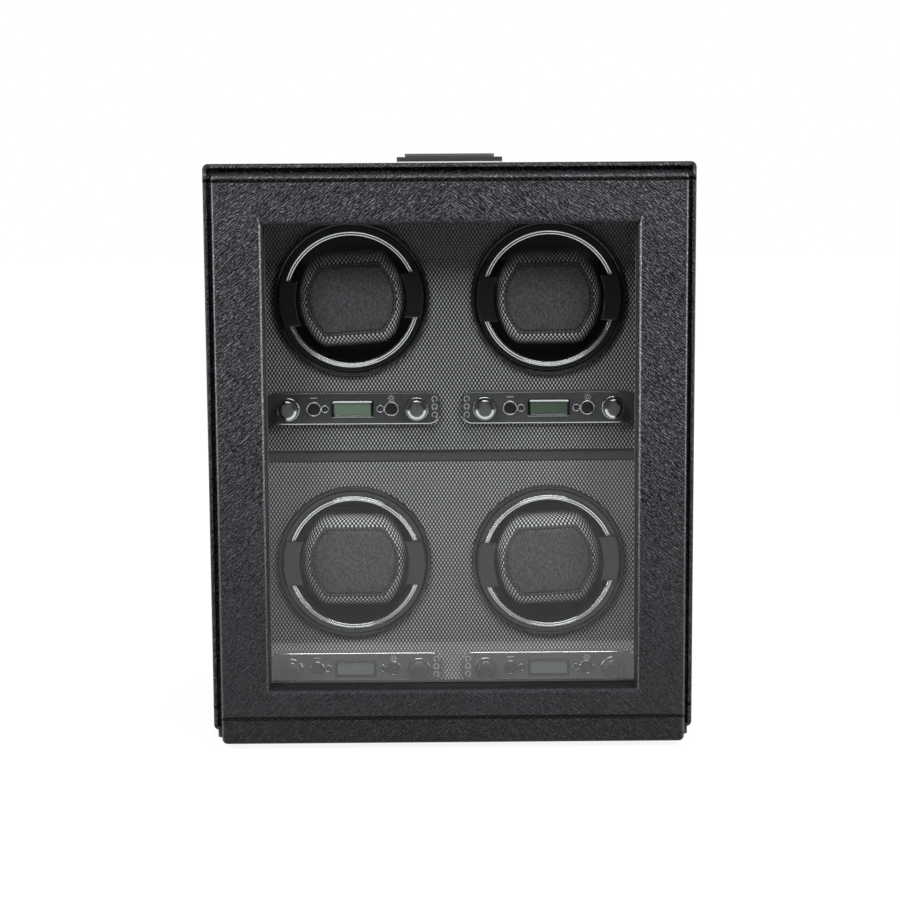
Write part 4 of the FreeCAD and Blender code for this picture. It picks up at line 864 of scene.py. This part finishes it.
def panel_prints():
    """Signs printed on each panel: minus and sun over the keys, turn arrows at the panel's inner end."""
    for place in PLACES:
        bm = bmesh.new()
        inner = 1 if place.endswith("left") else -1
        minus = -BUTTON_OFFSET
        add_bar(bm, (minus - MINUS_HALF, SIGN_RISE), (minus + MINUS_HALF, SIGN_RISE), PRINT_LINE)
        sun = Vector((BUTTON_OFFSET, SIGN_RISE - SUN_DROP))
        add_arc(bm, sun, SUN_RADIUS, 0, 360, SUN_LINE)
        for ray in range(8):
            turn = math.radians(45 * ray)
            out = Vector((math.cos(turn), math.sin(turn)))
            add_bar(bm, sun + out * SUN_RAY[0], sun + out * SUN_RAY[1], SUN_LINE)
        mode_x = inner * (KNOB_OFFSET + MODE_ASIDE)
        for rise, ways in zip(MODE_RISES, MODE_WAYS):
            centre = (mode_x, rise)
            add_arc(bm, centre, MODE_RADIUS, *MODE_ARC, PRINT_LINE)
            for way in ways:
                add_arrow_tip(bm, centre, MODE_RADIUS, max(MODE_ARC) if way > 0 else min(MODE_ARC), way)
        mesh = to_mesh("panel_print_" + place, bm)
        mesh.transform(Matrix.Translation((DRUMS[place].x, PANEL_FRONT - PRINT_LIFT, PANEL_Z[place])))
        add_piece("panel_print_" + place, mesh, PRINT, "cabinet", smooth=False)


def add_ring(bm, centre, radius, wire, around=32, sides=10):
    """A ring of round wire that faces -Y."""
    circle = [(wire * math.cos(2 * math.pi * k / sides), wire * math.sin(2 * math.pi * k / sides))
              for k in range(sides)]
    rows = []
    for i in range(around):
        turn = 2 * math.pi * i / around
        out = Vector((math.cos(turn), 0, math.sin(turn)))
        points = [centre + out * (radius + wide) + Vector((0, deep, 0)) for wide, deep in circle]
        rows.append([bm.verts.new(point) for point in points])
    for low, high in zip(rows, rows[1:] + rows[:1]):
        for k in range(sides):
            j = (k + 1) % sides
            bm.faces.new((low[k], low[j], high[j], high[k]))


def panel_rings():
    """Plated rings bedded on the collars round the keys and lamps."""
    for place in PLACES:
        bm = bmesh.new()
        for side in (-1, 1):
            for offset, radius, wire in PANEL_RINGS:
                x = DRUMS[place].x + side * offset
                centre = Vector((x, PANEL_FRONT - RING_PROUD, PANEL_Z[place]))
                add_ring(bm, centre, radius, wire)
        name = "panel_rings_" + place
        add_piece(name, to_mesh(name, bm), RING_PLATE, "cabinet")


def latch_runner():
    """The thin runner that the slider rides on, in the gap above the housing."""
    base_low, base_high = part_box("latch_base")
    low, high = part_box("latch_slider")
    bm = bmesh.new()
    bmesh.ops.create_cube(bm, size=1.0)
    width = high.x - low.x - 2 * RUNNER_INSET
    depth = base_high.y - base_low.y - 2 * RUNNER_INSET
    bmesh.ops.scale(bm, vec=(width, depth, RUNNER_THICK), verts=bm.verts)
    middle = (base_low + base_high) / 2
    middle.z = base_high.z + RUNNER_THICK / 2
    bmesh.ops.translate(bm, vec=middle, verts=bm.verts)
    mesh = to_mesh("latch_runner", bm)
    add_piece("latch_runner", mesh, SATIN_BLACK, "cabinet", smooth=False)


def trim_beads():
    """Smooth beads on the two rounded front edges of each drum's trim ring."""
    for place in PLACES:
        low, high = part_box("trim_ring_" + place)
        bm = bmesh.new()
        outer = (high.x - low.x) / 2
        centre = Vector((DRUMS[place].x, low.y + TRIM_ROUND, DRUMS[place].z))
        for radius in (outer - TRIM_ROUND, outer - TRIM_WIDTH + TRIM_ROUND):
            add_ring(bm, centre, radius, TRIM_ROUND + BEAD_LIFT, around=180, sides=28)
        name = "trim_beads_" + place
        add_piece(name, to_mesh(name, bm), BRIGHT_CHROME, "drum_" + place)


def add_light(name, place, target, size, power, mirrored):
    """A soft box that faces a point, and shows in shiny surfaces where mirrored is set."""
    data = bpy.data.lights.new(name, "AREA")
    data.shape = "RECTANGLE"
    data.size, data.size_y = size
    data.energy = power
    light = bpy.data.objects.new(name, data)
    bpy.context.scene.collection.objects.link(light)
    light.location = place
    light.rotation_euler = (Vector(target) - Vector(place)).to_track_quat("-Z", "Y").to_euler()
    light.visible_camera = False
    light.visible_glossy = mirrored


def floor_white(name):
    """White where it is seen, mirrored in full inside the box and in part by its outer faces."""
    g = Graph(name)
    ray = g.tree.nodes.new("ShaderNodeLightPath")
    x, y, _ = g.axes()
    away = g.math("SQRT", g.math("ADD", g.math("MULTIPLY", x, x), g.math("MULTIPLY", y, y)))
    table = g.span(away, TABLE_EDGE, TABLE_EDGE + TABLE_FADE, 1.0, ROOM_GLOW)
    # A ray from inside the box has come through the clear pane
    through = g.math("GREATER_THAN", ray.outputs["Transparent Depth"], 0.5)
    outside = g.span(g.math("ABSOLUTE", y), NEAR_EDGE, NEAR_EDGE + NEAR_FADE, 1.0, OUTSIDE_SHARE)
    mirrored = g.math("MULTIPLY", table, g.math("MAXIMUM", through, outside))
    seen = g.math("MAXIMUM", ray.outputs["Is Camera Ray"], ray.outputs["Is Transmission Ray"])
    glossy = ray.outputs["Is Glossy Ray"]
    unseen = g.node("ShaderNodeMix", {0: glossy, 2: BOUNCE, 3: mirrored}, data_type="FLOAT")
    white = g.span(away, *FLOOR_FADE, FLOOR_WHITE, 1.0)
    strength = g.node("ShaderNodeMix", {0: seen, 2: unseen, 3: white}, data_type="FLOAT")
    glow = g.node("ShaderNodeEmission", {"Color": (1, 1, 1), "Strength": strength})
    matte = g.node("ShaderNodeBsdfDiffuse", {"Color": FLOOR_GREY})
    both = g.node("ShaderNodeAddShader", {0: glow, 1: matte})
    g.put(g.tree.nodes["Material Output"].inputs["Surface"], both)
    return g.material


def surround():
    """A world that is white where it is seen and gives little light."""
    world = bpy.data.worlds.new("surround")
    bpy.context.scene.world = world
    world.use_nodes = True
    tree = world.node_tree
    ray = tree.nodes.new("ShaderNodeLightPath")
    mix = tree.nodes.new("ShaderNodeMix")
    mix.data_type = "RGBA"
    tree.links.new(ray.outputs["Is Camera Ray"], mix.inputs[0])
    mix.inputs[6].default_value = (ROOM_GLOW, ROOM_GLOW, ROOM_GLOW, 1)
    mix.inputs[7].default_value = (1, 1, 1, 1)
    tree.links.new(mix.outputs[2], tree.nodes["Background"].inputs["Color"])


def studio():
    """A white floor and surround, with soft boxes above, beside and behind."""
    bm = bmesh.new()
    bmesh.ops.create_grid(bm, x_segments=8, y_segments=8, size=FLOOR_HALF)
    floor = bpy.data.objects.new("floor", to_mesh("floor", bm))
    bpy.context.scene.collection.objects.link(floor)
    floor.data.materials.append(floor_white("floor_white"))
    surround()
    for name, place, size, power, mirrored in LIGHTS:
        add_light(name, place, LIGHT_TARGET, size, power, mirrored)


def camera():
    """The photo's viewpoint, a little above the box."""
    data = bpy.data.cameras.new("camera")
    data.lens = CAMERA_LENS
    data.sensor_width = SENSOR_WIDTH
    view = bpy.data.objects.new("camera", data)
    bpy.context.scene.collection.objects.link(view)
    yaw = Matrix.Rotation(math.radians(CAMERA_YAW), 4, "Z")
    pitch = Matrix.Rotation(math.radians(90 - CAMERA_PITCH), 4, "X")
    roll = Matrix.Rotation(math.radians(CAMERA_ROLL), 4, "Z")
    view.matrix_world = Matrix.Translation(CAMERA_PLACE) @ yaw @ pitch @ roll
    bpy.context.scene.camera = view


finish_nodes()
seam_rows()
window_lip()
cuffs()
panel_prints()
panel_rings()
trim_beads()
latch_runner()
studio()
camera()
bpy.context.scene.view_settings.view_transform = "Standard"
